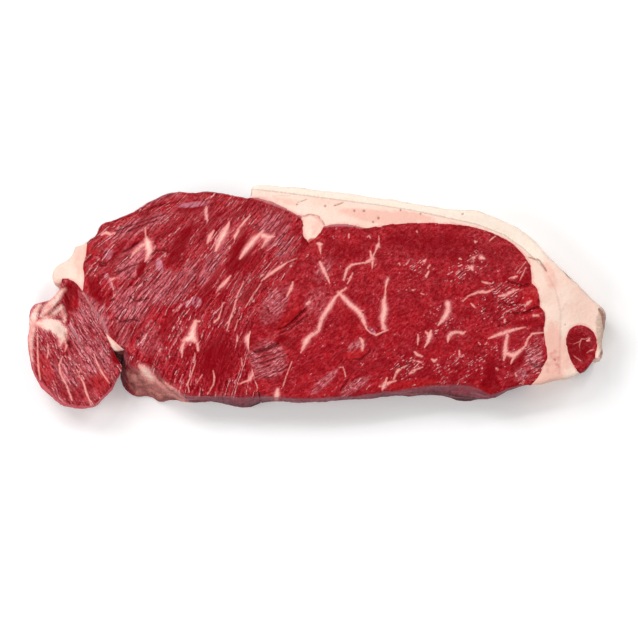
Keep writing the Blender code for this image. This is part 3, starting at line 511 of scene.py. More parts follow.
def walls_of(points, triangles):
    """Which triangles are seam walls, by how much of the thickness they span."""
    height = np.ptp(points[triangles][:, :, 2], axis=1)
    return height > SEAM_WALL_SHARE * np.ptp(points[:, 2])


def edges_of(triangles, count):
    """Every edge once, and the numbers of each triangle's edges: first, second and third."""
    pairs = np.sort(np.stack([triangles, np.roll(triangles, -1, axis=1)], axis=2), axis=2)
    keys, number = np.unique(pairs[..., 0].astype(np.int64) * count + pairs[..., 1], return_inverse=True)
    return np.stack([keys // count, keys % count], axis=1), number.reshape(-1, 3)


def added(numbers, values, count):
    """The sum of the values that share each number."""
    return np.stack([np.bincount(numbers, column, count) for column in values.T], axis=1)


def sharp_edges(points, triangles, walls):
    """The edges where the surface turns by more than the sharp angle, and the borders of seam walls."""
    edges, sides = edges_of(triangles, len(points))
    facing = facings(points, triangles)
    facing /= np.linalg.norm(facing, axis=1)[:, None]
    both = added(sides.ravel(), np.repeat(facing, 3, axis=0), len(edges))
    turn = np.sum(both**2, axis=1) / 2 - 1
    walls_beside = np.bincount(sides[walls].ravel(), minlength=len(edges))
    return edges[(turn < math.cos(SHARP_ANGLE)) | (walls_beside == 1)]


def smoothed_finer(points, triangles, walls, sharp):
    """One step of smooth subdivision that keeps sharp edges and the corners where they meet."""
    count = len(points)
    edges, sides = edges_of(triangles, count)
    is_sharp = np.isin(edges @ (count, 1), sharp @ (count, 1))
    opposite = added(sides.ravel(), points[np.roll(triangles, 1, axis=1).ravel()], len(edges))
    ends = points[edges].sum(axis=1)
    middles = np.where(is_sharp[:, None], ends / 2, ends * 3 / 8 + opposite / 8)

    both_ways = np.concatenate([edges, edges[:, ::-1]])
    valence = np.bincount(both_ways[:, 0], minlength=count)
    around = added(both_ways[:, 0], points[both_ways[:, 1]], count)
    share = (3 / (8 * valence))[:, None]
    eased = (1 - valence[:, None] * share) * points + share * around
    ridge = np.concatenate([sharp, sharp[:, ::-1]])
    sharp_valence = np.bincount(ridge[:, 0], minlength=count)[:, None]
    along = added(ridge[:, 0], points[ridge[:, 1]], count)
    creased = 0.75 * points + along / 8
    ways = points[ridge[:, 1]] - points[ridge[:, 0]]
    ways /= np.linalg.norm(ways, axis=1)[:, None]
    bend = np.linalg.norm(added(ridge[:, 0], ways, count), axis=1)[:, None]
    is_corner = (sharp_valence > 2) | (bend > CORNER_BEND)
    places = np.where(sharp_valence < 2, eased, np.where(is_corner, points, creased))

    split = count + np.flatnonzero(is_sharp)
    halves = [np.stack([edges[is_sharp, end], split], axis=1) for end in (0, 1)]
    (a, b, c), (ab, bc, ca) = triangles.T, (count + sides).T
    ways = (a, ab, ca), (ab, b, bc), (ca, bc, c), (ab, bc, ca)
    quarters = np.concatenate([np.stack(way, axis=1) for way in ways])
    return np.vstack([places, middles]), quarters, np.tile(walls, 4), np.vstack(halves)


def finer(points, triangles, walls):
    """Splits all but seam walls in four, and the walls beside them so that no gap opens."""
    edges, sides = edges_of(triangles, len(points))
    is_split = np.zeros(len(edges), bool)
    is_split[sides[~walls]] = True
    middles = (len(points) + np.cumsum(is_split) - 1)[sides]
    places = np.vstack([points, points[edges[is_split]].mean(axis=1)])

    marks = is_split[sides]
    marked = marks.sum(axis=1)
    # Turned so that one split edge is the first, and of two split edges the third stays whole
    start = np.where(marked == 1, np.argmax(marks, axis=1), (np.argmin(marks, axis=1) + 1) % 3)
    start[(marked == 0) | (marked == 3)] = 0
    turned = (start[:, None] + np.arange(3)) % 3
    corners = np.take_along_axis(triangles, turned, axis=1)
    middles = np.take_along_axis(middles, turned, axis=1)

    parts, kept = [], []
    for split in range(4):
        chosen = marked == split
        (a, b, c), (ab, bc, ca) = corners[chosen].T, middles[chosen].T
        ways = (
            [(a, b, c)],
            [(a, ab, c), (ab, b, c)],
            [(ab, b, bc), (a, ab, bc), (a, bc, c)],
            [(a, ab, ca), (ab, b, bc), (ca, bc, c), (ab, bc, ca)],
        )[split]
        parts += [np.stack(way, axis=1) for way in ways]
        kept += [walls[chosen]] * len(ways)
    return places, np.concatenate(parts), np.concatenate(kept)


def fine_surface(node):
    """A node's surface, smooth and fine: points in millimetres, triangles and which are seam walls."""
    points, triangles = solid_of(node)
    walls = walls_of(points, triangles)
    sharp = sharp_edges(points, triangles, walls)
    for _ in range(SMOOTH_LEVELS):
        points, triangles, walls, sharp = smoothed_finer(points, triangles, walls, sharp)
    for _ in range(FINE_LEVELS):
        points, triangles, walls = finer(points, triangles, walls)
    return points, triangles, walls


def normals_of(points, triangles):
    """Smooth normals at the points, and zero where no triangle meets them."""
    facing = np.repeat(facings(points, triangles), 3, axis=0)
    total = added(triangles.ravel(), facing, len(points))
    return total / np.maximum(np.linalg.norm(total, axis=1), 1e-9)[:, None]


# Where things lie on the cut face


def away_from(points, line):
    """The distance of points from an open line, and how far along it each one's nearest place is."""
    line = np.array(line, float)
    best = np.full(len(points), np.inf)
    along = np.zeros(len(points))
    for number, (start, end) in enumerate(zip(line, line[1:])):
        step = end - start
        share = np.clip((points - start) @ step / (step @ step), 0, 1)
        distance = np.hypot(*(points - start - share[:, None] * step).T)
        nearer = distance < best
        best[nearer] = distance[nearer]
        along[nearer] = number + share[nearer]
    return best, along


def nearest_streak(points, streaks):
    """How far inside the nearest streak each point is, less than 0 outside, and its half width there."""
    deepest = np.full(len(points), -MARK_REACH)
    widths = np.zeros(len(points))
    for streak in streaks:
        streak = np.array(streak, float)
        distance, along = away_from(points, streak[:, :2])
        width = np.interp(along, np.arange(len(streak)), streak[:, 2])
        nearer = width - distance > deepest
        deepest[nearer] = (width - distance)[nearer]
        widths[nearer] = width[nearer]
    return deepest, widths


def in_patches(points, patches):
    """How strongly soft oval patches cover each point, from 0 to 1."""
    covered = np.zeros(len(points))
    for x, y, along, across, turn, strength in patches:
        angle = math.radians(turn)
        offset = points - (x, y)
        u = (offset @ (math.cos(angle), math.sin(angle))) / along
        v = (offset @ (-math.sin(angle), math.cos(angle))) / across
        covered = np.maximum(covered, strength * smooth(PATCH_REACH - np.hypot(u, v)))
    return covered


def grain_terms(points, middle, reach):
    """The terms of a smooth polynomial over a muscle, and their slopes along x and y."""
    x, y = ((points - middle) / reach).T
    terms, slopes_x, slopes_y = [], [], []
    for i, j in itertools.product(range(GRAIN_DEGREE + 1), repeat=2):
        if 0 < i + j <= GRAIN_DEGREE:
            terms.append(x**i * y**j)
            slopes_x.append(i * x ** max(i - 1, 0) * y**j / reach)
            slopes_y.append(j * x**i * y ** max(j - 1, 0) / reach)
    return np.stack(terms, axis=1), np.stack(slopes_x, axis=1), np.stack(slopes_y, axis=1)


def grain_of(points, pegs):
    """How far along the grain and across it each point is, in millimetres, by slopes that follow the pegs."""
    pegs = np.array(pegs, float)
    low, high = points.min(axis=0), points.max(axis=0)
    middle, reach = (low + high) / 2, np.max(high - low) / 2
    grid = np.stack(np.meshgrid(*(np.arange(a, b, GRAIN_STEP) for a, b in zip(low, high))), axis=-1)
    grid = grid.reshape(-1, 2)
    weights = 1 / (np.linalg.norm(grid[:, None] - pegs[None, :, :2], axis=2) ** 3 + PEG_SOFTNESS)
    turn = 2 * np.radians(pegs[:, 2])
    angle = np.arctan2(weights @ np.sin(turn), weights @ np.cos(turn)) / 2
    _, slopes_x, slopes_y = grain_terms(grid, middle, reach)
    slopes = np.vstack([slopes_x, slopes_y])
    wanted_along = np.concatenate([np.cos(angle), np.sin(angle)])
    wanted_across = np.concatenate([-np.sin(angle), np.cos(angle)])
    fits = np.linalg.lstsq(slopes, np.stack([wanted_along, wanted_across], axis=1), rcond=None)[0]
    terms, _, _ = grain_terms(points, middle, reach)
    return terms @ fits


def distance_to(points, targets, farthest):
    """Each point's distance in plan to the nearest target, up to the farthest one."""
    if not len(targets):
        return np.full(len(points), farthest)
    tree = KDTree(len(targets))
    for number, (x, y, _) in enumerate(targets):
        tree.insert((x, y, 0), number)
    tree.balance()
    return np.array([min(tree.find((x, y, 0))[2], farthest) for x, y, _ in points])


# Giving a surface its form


def closed_up(points, walls):
    """Seam walls pushed out past the middle of the seam, so that neighbours meet."""
    outward = normals_of(points, walls)
    outward[:, 2] = 0
    return points + SEAM_PUSH * outward


def ragged(points):
    """Small sideways shifts that follow place alone, so that pieces shift alike where they meet."""
    shifts = [uneven(points, layers) for layers in RAGGEDNESS]
    return points + np.column_stack([*shifts, np.zeros(len(points))])


def crease_relief(plan):
    """How deep the creases cut at each point, and how far inside a crease it is, both in millimetres."""
    depth = np.zeros(len(plan))
    inside = np.full(len(plan), -MARK_REACH)
    for line, deep, half_width in CREASES:
        distance, along = away_from(plan, line)
        tapered = smooth(np.minimum(along, len(line) - 1 - along) * CREASE_TAPER)
        depth = np.maximum(depth, deep * np.exp(-((distance / half_width) ** 2)) * tapered)
        inside = np.maximum(inside, half_width * (tapered - CREASE_CORE) - distance)
    return depth, inside


def fold_relief(plan):
    height = np.zeros(len(plan))
    for line, rise, half_width in FOLDS:
        distance, _ = away_from(plan, line)
        height += rise * np.exp(-((distance / half_width) ** 2))
    return height


def lean_relief(points, grain, look):
    """The height of ridges along the grain and of fine unevenness, in millimetres."""
    flow = np.column_stack([grain, np.zeros(len(grain))])
    return look["ridges"] * uneven(flow, GRAIN_RIDGES) + uneven(points, LEAN_UNEVENNESS)


def new_mesh(name, points, triangles):
    mesh = bpy.data.meshes.new(name)
    mesh.vertices.add(len(points))
    mesh.vertices.foreach_set("co", (points * MM).astype(np.float32).ravel())
    mesh.loops.add(triangles.size)
    mesh.loops.foreach_set("vertex_index", triangles.astype(np.int32).ravel())
    mesh.polygons.add(len(triangles))
    mesh.polygons.foreach_set("loop_start", np.arange(0, triangles.size, 3, dtype=np.int32))
    mesh.update(calc_edges=True)
    mesh.validate()
    mesh.shade_smooth()
    mesh.set_sharp_from_angle(angle=SHADING_ANGLE)
    return mesh


def mark(mesh, name, values):
    """Stores three numbers at each point under a name."""
    attribute = mesh.attributes.new(name, "FLOAT_VECTOR", "POINT")
    attribute.data.foreach_set("vector", values.astype(np.float32).ravel())


def make_piece(node, name, relief_and_marks, material):
    """A shown piece over its solid: its fine surface with relief, marks and material."""
    points, triangles, walls = fine_surface(node)
    points = ragged(closed_up(points, triangles[walls]))
    normals = normals_of(points, triangles[~walls])
    side = smooth((SIDE_RISE - np.abs(normals[:, 2])) / SIDE_FADE)
    wall = points[np.unique(triangles[walls])]
    rim = wall[wall[:, 2] > points[:, 2].max() / 2]
    height, marks = relief_and_marks(node, points, side, rim)
    on_top = smooth((points[:, 2] - RELIEF_FROM) / RELIEF_FADE)
    height = height * (1 - side) * on_top + uneven(points, SIDE_UNEVENNESS) * side
    points = points + normals * height[:, None]
    points[:, 2] = np.maximum(points[:, 2], 0)
    mesh = new_mesh(name, points, triangles)
    for key, values in marks.items():
        mark(mesh, key, np.column_stack(values))
    mesh.materials.append(material)
    piece = bpy.data.objects.new(name, mesh)
    bpy.context.scene.collection.objects.link(piece)
    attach(piece, "root")
    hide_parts(node)
    return piece


def lean_form(node, points, side, rim):
    """The relief of a lean piece's cut face and its marks."""
    plan = points[:, :2]
    look = LEAN_LOOKS[node]
    grain = grain_of(plan, GRAIN_PEGS[node])
    fat, fat_width = nearest_streak(plan, MARBLING[node])
    depth, crease = crease_relief(plan)
    height = lean_relief(points, grain, look) * (1 - MARBLING_EVENS * smooth(fat + 0.9))
    height = height + MARBLING_RISE * smooth(fat + 0.5)
    patch = {name: in_patches(plan, patches) for name, patches in PATCHES.items()}
    woven = np.maximum(patch["woven"], look["woven"])
    strokes = np.maximum(patch["strokes"], look["strokes"])
    film = nearest_streak(plan, FILMS)[0]
    marks = {
        "grain": (*grain.T, points[:, 2]),
        "streaks": (fat, nearest_streak(plan, MEMBRANES)[0], crease),
        "tones": (patch["deep"], patch["bright"], patch["lilac"]),
        "texture": (woven, strokes, film),
        "rims": (side, distance_to(points, rim, LEAN_RIM_REACH), fat_width),
    }
    return height + fold_relief(plan) - depth, marks


def fat_form(node, points, side, rim):
    """The relief of a fat piece's cut face and its marks."""
    plan = points[:, :2]
    layer_x, layer_y = np.array(CAP_LAYERS).T
    beyond = plan[:, 1] - np.interp(plan[:, 0], layer_x, layer_y)
    outer = smooth((beyond + LAYER_SOFTNESS / 2) / LAYER_SOFTNESS)
    outer *= smooth((OUTER_LAYER_END - plan[:, 0]) / OUTER_LAYER_FADE)
    specks = np.full(len(plan), -MARK_REACH)
    for x, y, radius in SPECKS:
        specks = np.maximum(specks, radius - np.hypot(*(plan - (x, y)).T))
    patch = {name: in_patches(plan, patches) for name, patches in FAT_PATCHES.items()}
    cracks = np.maximum(nearest_streak(plan, CRACKS)[0], specks)
    layers = nearest_streak(plan, [[(x, y, 0.2) for x, y in CAP_LAYERS]])[0]
    marks = {
        "place": tuple(points.T),
        "lines": (layers, cracks, nearest_streak(plan, FAINT_LINES)[0]),
        "rims": (side, distance_to(points, rim, FAT_RIM_REACH), outer),
        "tones": (patch["pink"], patch["rind"], patch["red"]),
    }
    return uneven(points, FAT_UNEVENNESS) - CRACK_DEPTH * smooth(cracks * 2 + 0.8), marks


# Building materials


# The darker and the paler colour of a lean piece's outer side, and of the film on it; the darker ones go on
# lower down the side, partly as painted shade
SIDE_TINTS = {
    "skin": ("skin_dark", "skin", "film_dark", "film"),
    "rim": ("deep", "pale", "thin_fat", "fat"),
}


class Wiring:
    """Adds shader nodes to one tree and joins them, so that a material reads as a list of steps."""

    def __init__(self, tree):
        self.tree = tree
        self.tints = {}

    def add(self, kind, inputs=(), **settings):
        node = self.tree.nodes.new(kind)
        for key, value in settings.items():
            setattr(node, key, value)
        self.fill(node, dict(inputs))
        return node

    def fill(self, node, inputs):
        for socket, value in inputs.items():
            self.feed(node.inputs[socket], value)

    def feed(self, socket, value):
        if isinstance(value, bpy.types.NodeSocket):
            self.tree.links.new(value, socket)
        else:
            socket.default_value = value

    def maths(self, operation, *values):
        return self.add("ShaderNodeMath", enumerate(values), operation=operation).outputs[0]

    def joined(self, operation, values):
        total = values[0]
        for value in values[1:]:
            total = self.maths(operation, total, value)
        return total

    def plus(self, *values):
        return self.joined("ADD", values)

    def times(self, *values):
        return self.joined("MULTIPLY", values)

    def greater(self, *values):
        return self.joined("MAXIMUM", values)

    def but(self, value, mask, share=1.0):
        """The value where the mask isn't."""
        return self.times(value, self.maths("SUBTRACT", 1.0, self.times(mask, share)))

    def ramp(self, value, low, high, start=0.0, end=1.0):
        inputs = {"Value": value, "From Min": low, "From Max": high, "To Min": start, "To Max": end}
        return self.add("ShaderNodeMapRange", inputs, interpolation_type="SMOOTHSTEP").outputs["Result"]

    def vector(self, x, y, z=0.0):
        return self.add("ShaderNodeCombineXYZ", {"X": x, "Y": y, "Z": z}).outputs["Vector"]

    def parts(self, vector):
        return self.add("ShaderNodeSeparateXYZ", {"Vector": vector}).outputs

    def vector_maths(self, operation, vector, other):
        return self.add("ShaderNodeVectorMath", {0: vector, 1: other}, operation=operation).outputs["Vector"]

    def scaled(self, vector, x, y, z):
        return self.vector_maths("MULTIPLY", vector, (x, y, z))

    def noise(self, vector, detail=1.0, roughness=0.5):
        inputs = {"Vector": vector, "Scale": 1.0, "Detail": detail, "Roughness": roughness}
        return self.add("ShaderNodeTexNoise", inputs).outputs["Fac"]

    def either_way(self, vector, detail=1.0, roughness=0.5):
        """Noise about zero."""
        return self.maths("SUBTRACT", self.noise(vector, detail, roughness), 0.5)

    def mixed(self, factor, first, second):
        return self.add("ShaderNodeMix", {0: factor, 6: first, 7: second}, data_type="RGBA").outputs[2]

    def over(self, colour, tint, *shares):
        """The colour with a tint over it, as strongly as the shares say together."""
        return self.mixed(self.times(*shares), colour, self.tints[tint])

    def bump(self, height):
        inputs = {"Height": height, "Strength": 1.0, "Distance": MM}
        return self.add("ShaderNodeBump", inputs).outputs["Normal"]

    def read(self, name):
        return self.add("ShaderNodeAttribute", attribute_name=name).outputs["Vector"]

    def use(self, kind, **inputs):
        """The outputs of a shared group with its inputs fed."""
        name, make = GROUPS[kind]
        node = self.add("ShaderNodeGroup", node_tree=bpy.data.node_groups.get(name) or make(name))
        self.fill(node, {socket.replace("_", " ").capitalize(): value for socket, value in inputs.items()})
        return node.outputs

    def patch(self, amount, blotches):
        return self.use("patch", amount=amount, blotches=blotches)["Amount"]


def opaque(colour):
    return (*colour, 1.0)


def new_group(name, inputs, outputs):
    """A shader group with named sockets, and its wiring, input node and output node."""
    group = bpy.data.node_groups.new(name, "ShaderNodeTree")
    for socket, value in inputs.items():
        kind = "NodeSocketVector" if value is None else "NodeSocketFloat"
        made = group.interface.new_socket(socket, in_out="INPUT", socket_type=kind)
        if value is not None:
            made.default_value = value
    for socket in outputs:
        group.interface.new_socket(socket, in_out="OUTPUT", socket_type="NodeSocketFloat")
    wiring = Wiring(group)
    return group, wiring, wiring.add("NodeGroupInput").outputs, wiring.add("NodeGroupOutput").inputs


def line_group(name):
    """Thin lines that run side by side along the grain, wander and break off."""
    sockets = {"Grain": None, "Length": 12.0, "Spacing": 3.0, "Half width": 0.2, "Share": 0.5, "Seed": 0.0}
    group, w, given, result = new_group(name, sockets, ["Amount"])
    length, spacing, seed = given["Length"], given["Spacing"], given["Seed"]
    along, across, _ = w.parts(given["Grain"])
    run = w.maths("DIVIDE", along, length)
    place = w.maths("DIVIDE", across, spacing)

    # Each line's way, in spacings
    reach = w.plus(w.times(w.maths("DIVIDE", length, spacing), 0.25), 0.9)
    wander = w.times(w.either_way(w.vector(w.times(run, 0.6), w.times(place, 0.35), seed), 0.5), reach)
    rough = w.noise(w.vector(w.times(run, 3.0), w.times(place, 0.7), seed), 2.0, 0.6)
    small_wander = w.times(w.maths("SUBTRACT", rough, 0.5), reach, 0.25)
    place = w.plus(place, wander, small_wander)
    number = w.maths("ROUND", place)
    chance = w.add("ShaderNodeTexWhiteNoise", {"W": w.plus(number, seed)}, noise_dimensions="1D").outputs[0]
    aside = w.times(w.maths("SUBTRACT", chance, 0.5), 0.8)
    off = w.maths("SUBTRACT", w.maths("SUBTRACT", place, number), aside)
    away = w.times(w.maths("ABSOLUTE", off), spacing)

    # Where it breaks off, and how wide it is
    limit = w.plus(0.78, w.times(given["Share"], -0.5))
    there = w.ramp(w.noise(w.vector(run, w.times(number, 3.7), seed), 2.0, 0.6), limit, w.plus(limit, 0.08))
    width = w.times(given["Half width"], w.ramp(rough, 0.3, 0.7, 0.6, 1.4))
    drawn = w.ramp(away, w.times(width, 1.5), w.times(width, 0.5))
    w.feed(result["Amount"], w.times(drawn, there, w.ramp(chance, 0.0, 1.0, 0.4, 1.0)))
    return group


def streak_group(name):
    """Streaks drawn by how far inside them a place is, with an edge that frays along the grain."""
    sockets = {"Inside": -MARK_REACH, "Grain": None, "Fray": 0.4, "Softness": 0.3}
    group, w, given, result = new_group(name, sockets, ["Amount", "Core"])
    frayed = w.either_way(w.scaled(given["Grain"], 0.35, 1.7, 0.0), 3.0, 0.6)
    lumps = w.either_way(w.scaled(given["Grain"], 1.6, 1.6, 0.0))
    edge = w.plus(given["Inside"], w.times(w.plus(w.times(frayed, 2.2), w.times(lumps, 1.4)), given["Fray"]))
    w.feed(result["Amount"], w.ramp(edge, w.times(given["Softness"], -1.0), given["Softness"]))
    w.feed(result["Core"], w.ramp(edge, -0.1, 2.1))
    return group


def patch_group(name):
    """A soft patch whose edge breaks up into blotches along the grain."""
    group, w, given, result = new_group(name, {"Amount": 0.0, "Blotches": 0.5}, ["Amount"])
    w.feed(result["Amount"], w.ramp(w.plus(given["Amount"], w.times(given["Blotches"], 0.9)), 0.62, 1.2))
    return group


GROUPS = {
    "lines": ("Fibre lines", line_group),
    "streaks": ("Frayed streaks", streak_group),
    "patch": ("Broken patch", patch_group),
}


def new_material(name, settings):
    """A material with its wiring, which knows the settings' tints, and its shader."""
    material = bpy.data.materials.new(name)
    material.use_nodes = True
    material.node_tree.nodes.clear()
    wiring = Wiring(material.node_tree)
    for key in settings.bl_rna.properties.keys():
        if key.startswith("tint_"):
            wiring.tints[key.removeprefix("tint_")] = opaque(getattr(settings, key))
    shader = wiring.add("ShaderNodeBsdfPrincipled")
    wiring.add("ShaderNodeOutputMaterial", {"Surface": shader.outputs["BSDF"]})
    return material, wiring, shader


def lean_material(name, look, settings):
    """Raw lean meat with grain, marbling, tones and, on its outer side, the thin skin of the muscle."""
    material, w, shader = new_material(name, settings)
    grain = w.read("grain")
    inside, membrane, crease = w.parts(w.read("streaks"))
    deep, bright, lilac = w.parts(w.read("tones"))
    woven, strokes, film = w.parts(w.read("texture"))
    side, from_rim, width = w.parts(w.read("rims"))
    height = w.parts(grain)[2]
    short, fineness, mottle = look["shortness"], look["fineness"], look["mottle"]

    # Noises along the grain, from the slowest to the finest
    slow = w.noise(w.scaled(grain, 0.05, 0.08, 0.0), 2.0)
    calm = w.ramp(w.noise(w.scaled(grain, 0.05 * short, 0.19, 0.0), 2.0), 0.5, 0.6)
    blotches = w.noise(w.scaled(grain, 0.22 * short, 0.5, 0.0), 3.0, 0.65)
    fibres = w.noise(w.scaled(grain, 0.16 * short, 1.0, 0.0), 3.0, 0.7)
    fine = w.scaled(grain, 0.9 * fineness, 1.5 * fineness, 0.9 * fineness)
    fine = w.noise(fine, 1.0 + 2.0 * fineness, 0.6)

    def streaks(inside, fray, softness):
        return w.use("streaks", inside=inside, grain=grain, fray=fray, softness=softness)

    def lines(kind, place, share, seed):
        length, spacing, half_width = look[kind]
        given = {"grain": place, "length": length, "spacing": spacing, "half_width": half_width}
        return w.use("lines", **given, share=share, seed=seed)["Amount"]

    fray = w.plus(0.12, w.times(width, settings.fray))
    fat = streaks(inside, fray, w.plus(0.18, w.times(width, 0.26)))
    film_edge = streaks(membrane, 0.5, 0.5)["Amount"]
    # Where the creases get painted shade
    gap = streaks(crease, 0.2, 0.16)["Amount"]
    thin_skin = streaks(film, 0.9, 1.0)["Amount"]
    deep, bright = (w.patch(x, blotches) for x in (deep, bright))
    woven, strokes = (
        w.but(w.but(w.but(w.patch(x, blotches), deep), bright, 0.7), calm, 0.6) for x in (woven, strokes)
    )

    # Long pale lines and short strokes along the grain, partly painted glints, the painted shade beside them,
    # and slits
    lined = w.greater(look["lines"], woven)
    long_share = w.times(w.but(w.but(w.ramp(blotches, 0.36, 0.56, 0.35, 0.8), deep, 0.8), calm, 0.5), lined)
    short_share = w.times(strokes, 0.7)
    lit, shade = (
        w.greater(lines("line", place, long_share, 0.0), lines("stroke", place, short_share, 7.3))
        for place in (grain, w.vector_maths("ADD", grain, (0.0, SHADE_OFFSET, 0.0)))
    )
    slit = w.times(lines("slit", grain, 0.85, 3.1), w.ramp(woven, 0.15, 0.6))

    # Tone: mottling along the grain, paler on the higher fibres and darker on the lower ones, partly painted
    # light and shade; deep wine red and warm red patches; lilac sheen
    colour = w.mixed(w.ramp(slow, 0.35, 0.65), w.tints["lean"], w.tints["warm"])
    colour = w.over(colour, "pale", w.ramp(fibres, 0.52, 0.7), mottle)
    colour = w.over(colour, "gap", w.ramp(fibres, 0.5, 0.36), mottle, 1.6)
    colour = w.over(colour, "pale", w.ramp(fine, 0.54, 0.66), mottle, 1.1)
    colour = w.over(colour, "gap", w.ramp(fine, 0.47, 0.37), mottle, 1.7)
    colour = w.over(colour, "deep", calm, 0.5)
    colour = w.over(colour, "deep", deep, 0.85)
    # Warm red patches on the higher fibres, in places painted highlight
    colour = w.over(colour, "bright", bright, w.ramp(fibres, 0.36, 0.56, 0.3, 0.65))
    colour = w.over(colour, "lilac", w.patch(lilac, blotches), w.ramp(fibres, 0.36, 0.56), 0.7)

    # Pale open bundles, partly painted sheen; painted shade in slits and beside the lines; pale lines and
    # strokes, partly painted glints; creases painted darker as shade
    sheen_and_pale_bundles = w.times(woven, w.ramp(fibres, 0.37, 0.6, 0.2, 1.0), w.ramp(fine, 0.38, 0.6, 0.45, 1.0))
    colour = w.over(colour, "line", sheen_and_pale_bundles, 0.84)
    # Slits between bundles painted dark as shade, then painted shade beside the pale lines
    colour = w.over(colour, "gap", slit, look["slits"])
    colour = w.over(colour, "gap", shade, look["shade"])
    # Pale lines and strokes, partly painted glints
    colour = w.over(colour, "glint", lit, w.ramp(fine, 0.38, 0.58, 0.3, 1.0))
    # Creases painted darker, as their shade
    colour = w.over(colour, "gap", gap, w.ramp(fine, 0.36, 0.56, 0.4, 0.75))

    # Membrane, and fat that is paler in the core of a streak and all over a wide one
    beside_fat = w.ramp(w.plus(inside, w.times(fibres, 2.0)), -0.5, 1.4)
    colour = w.over(colour, "line", beside_fat, w.ramp(width, 0.3, 1.2), 0.5)
    colour = w.over(colour, "membrane", film_edge, 0.8)
    core = w.greater(fat["Core"], w.times(fat["Amount"], w.ramp(width, 1.6, 2.6)))
    fatty = w.mixed(core, w.tints["thin_fat"], w.tints["fat"])
    fatty = w.over(fatty, "thin_fat", w.ramp(fine, 0.52, 0.38), w.but(0.6, core, 0.7))
    whole = w.greater(w.ramp(blotches, 0.34, 0.46, 0.25, 1.0), w.ramp(core, 0.0, 0.5))
    covering = w.times(fat["Amount"], whole, 0.96)

    # Outer side, with folds of tone, paler higher up and darker towards the bottom as painted shade
    position = w.scaled(w.add("ShaderNodeNewGeometry").outputs["Position"], 1 / MM, 1 / MM, 1 / MM)
    folds = w.noise(w.scaled(position, 0.16, 0.16, 0.2), 5.0, 0.7)
    streaky = w.noise(w.scaled(position, 0.05, 0.05, 0.4), 3.0, 0.6)
    dark_side, pale_side, dark_film, pale_film = SIDE_TINTS[look["sides"]]
    upper = w.ramp(w.plus(folds, w.times(height, 0.025)), 0.5, 1.0)
    skin = w.mixed(upper, w.tints[dark_side], w.tints[pale_side])
    skin = w.over(skin, "membrane", w.ramp(streaky, 0.52, 0.7), 0.5)
    # Darker towards the bottom of the side and of its film: painted shade
    low = w.times(w.ramp(w.plus(height, w.times(folds, 5.0)), 13.0, 4.0), side)
    beige = w.mixed(w.ramp(folds, 0.32, 0.66), w.tints[dark_film], w.tints[pale_film])
    beige = w.over(beige, dark_film, low, 0.75)
    beige = w.over(beige, dark_film, w.ramp(fine, 0.46, 0.36), 0.3)
    skin = w.mixed(thin_skin, skin, beige)
    colour = w.mixed(w.times(thin_skin, 0.9), colour, beige)
    colour = w.mixed(w.times(side, w.ramp(from_rim, 0.1, 0.9, 0.5, 0.95)), colour, skin)
    colour = w.mixed(w.but(covering, w.times(side, w.ramp(height, 15.0, 8.0, 0.65, 1.0))), colour, fatty)

    wetness = w.ramp(blotches, 0.3, 0.7, -0.06, 0.12)
    gloss = w.but(w.but(w.but(w.ramp(fibres, 0.36, 0.6, 0.2, 0.6), side, 0.6), deep, 0.6), calm, 0.3)
    grained = w.plus(w.times(sheen_and_pale_bundles, 0.1), w.times(slit, -0.22), w.times(lit, 0.12), w.times(shade, -0.08))
    relief = w.plus(
        w.but(grained, fat["Amount"]), w.times(blotches, 0.35), w.times(fibres, mottle, 0.3),
        w.times(fine, 0.05), w.times(fat["Amount"], 0.12), w.times(gap, -0.2),
    )
    w.fill(shader, {
        "Base Color": colour,
        "Roughness": w.plus(wetness, settings.roughness, w.times(fat["Amount"], 0.1), w.times(side, 0.2)),
        "Specular IOR Level": gloss,
        "Normal": w.bump(relief),
        "IOR": settings.wet_ior,
        "Subsurface Weight": 0.06,
        "Subsurface Radius": (1.0, 0.25, 0.15),
        "Subsurface Scale": 1.5 * MM,
    })
    return material


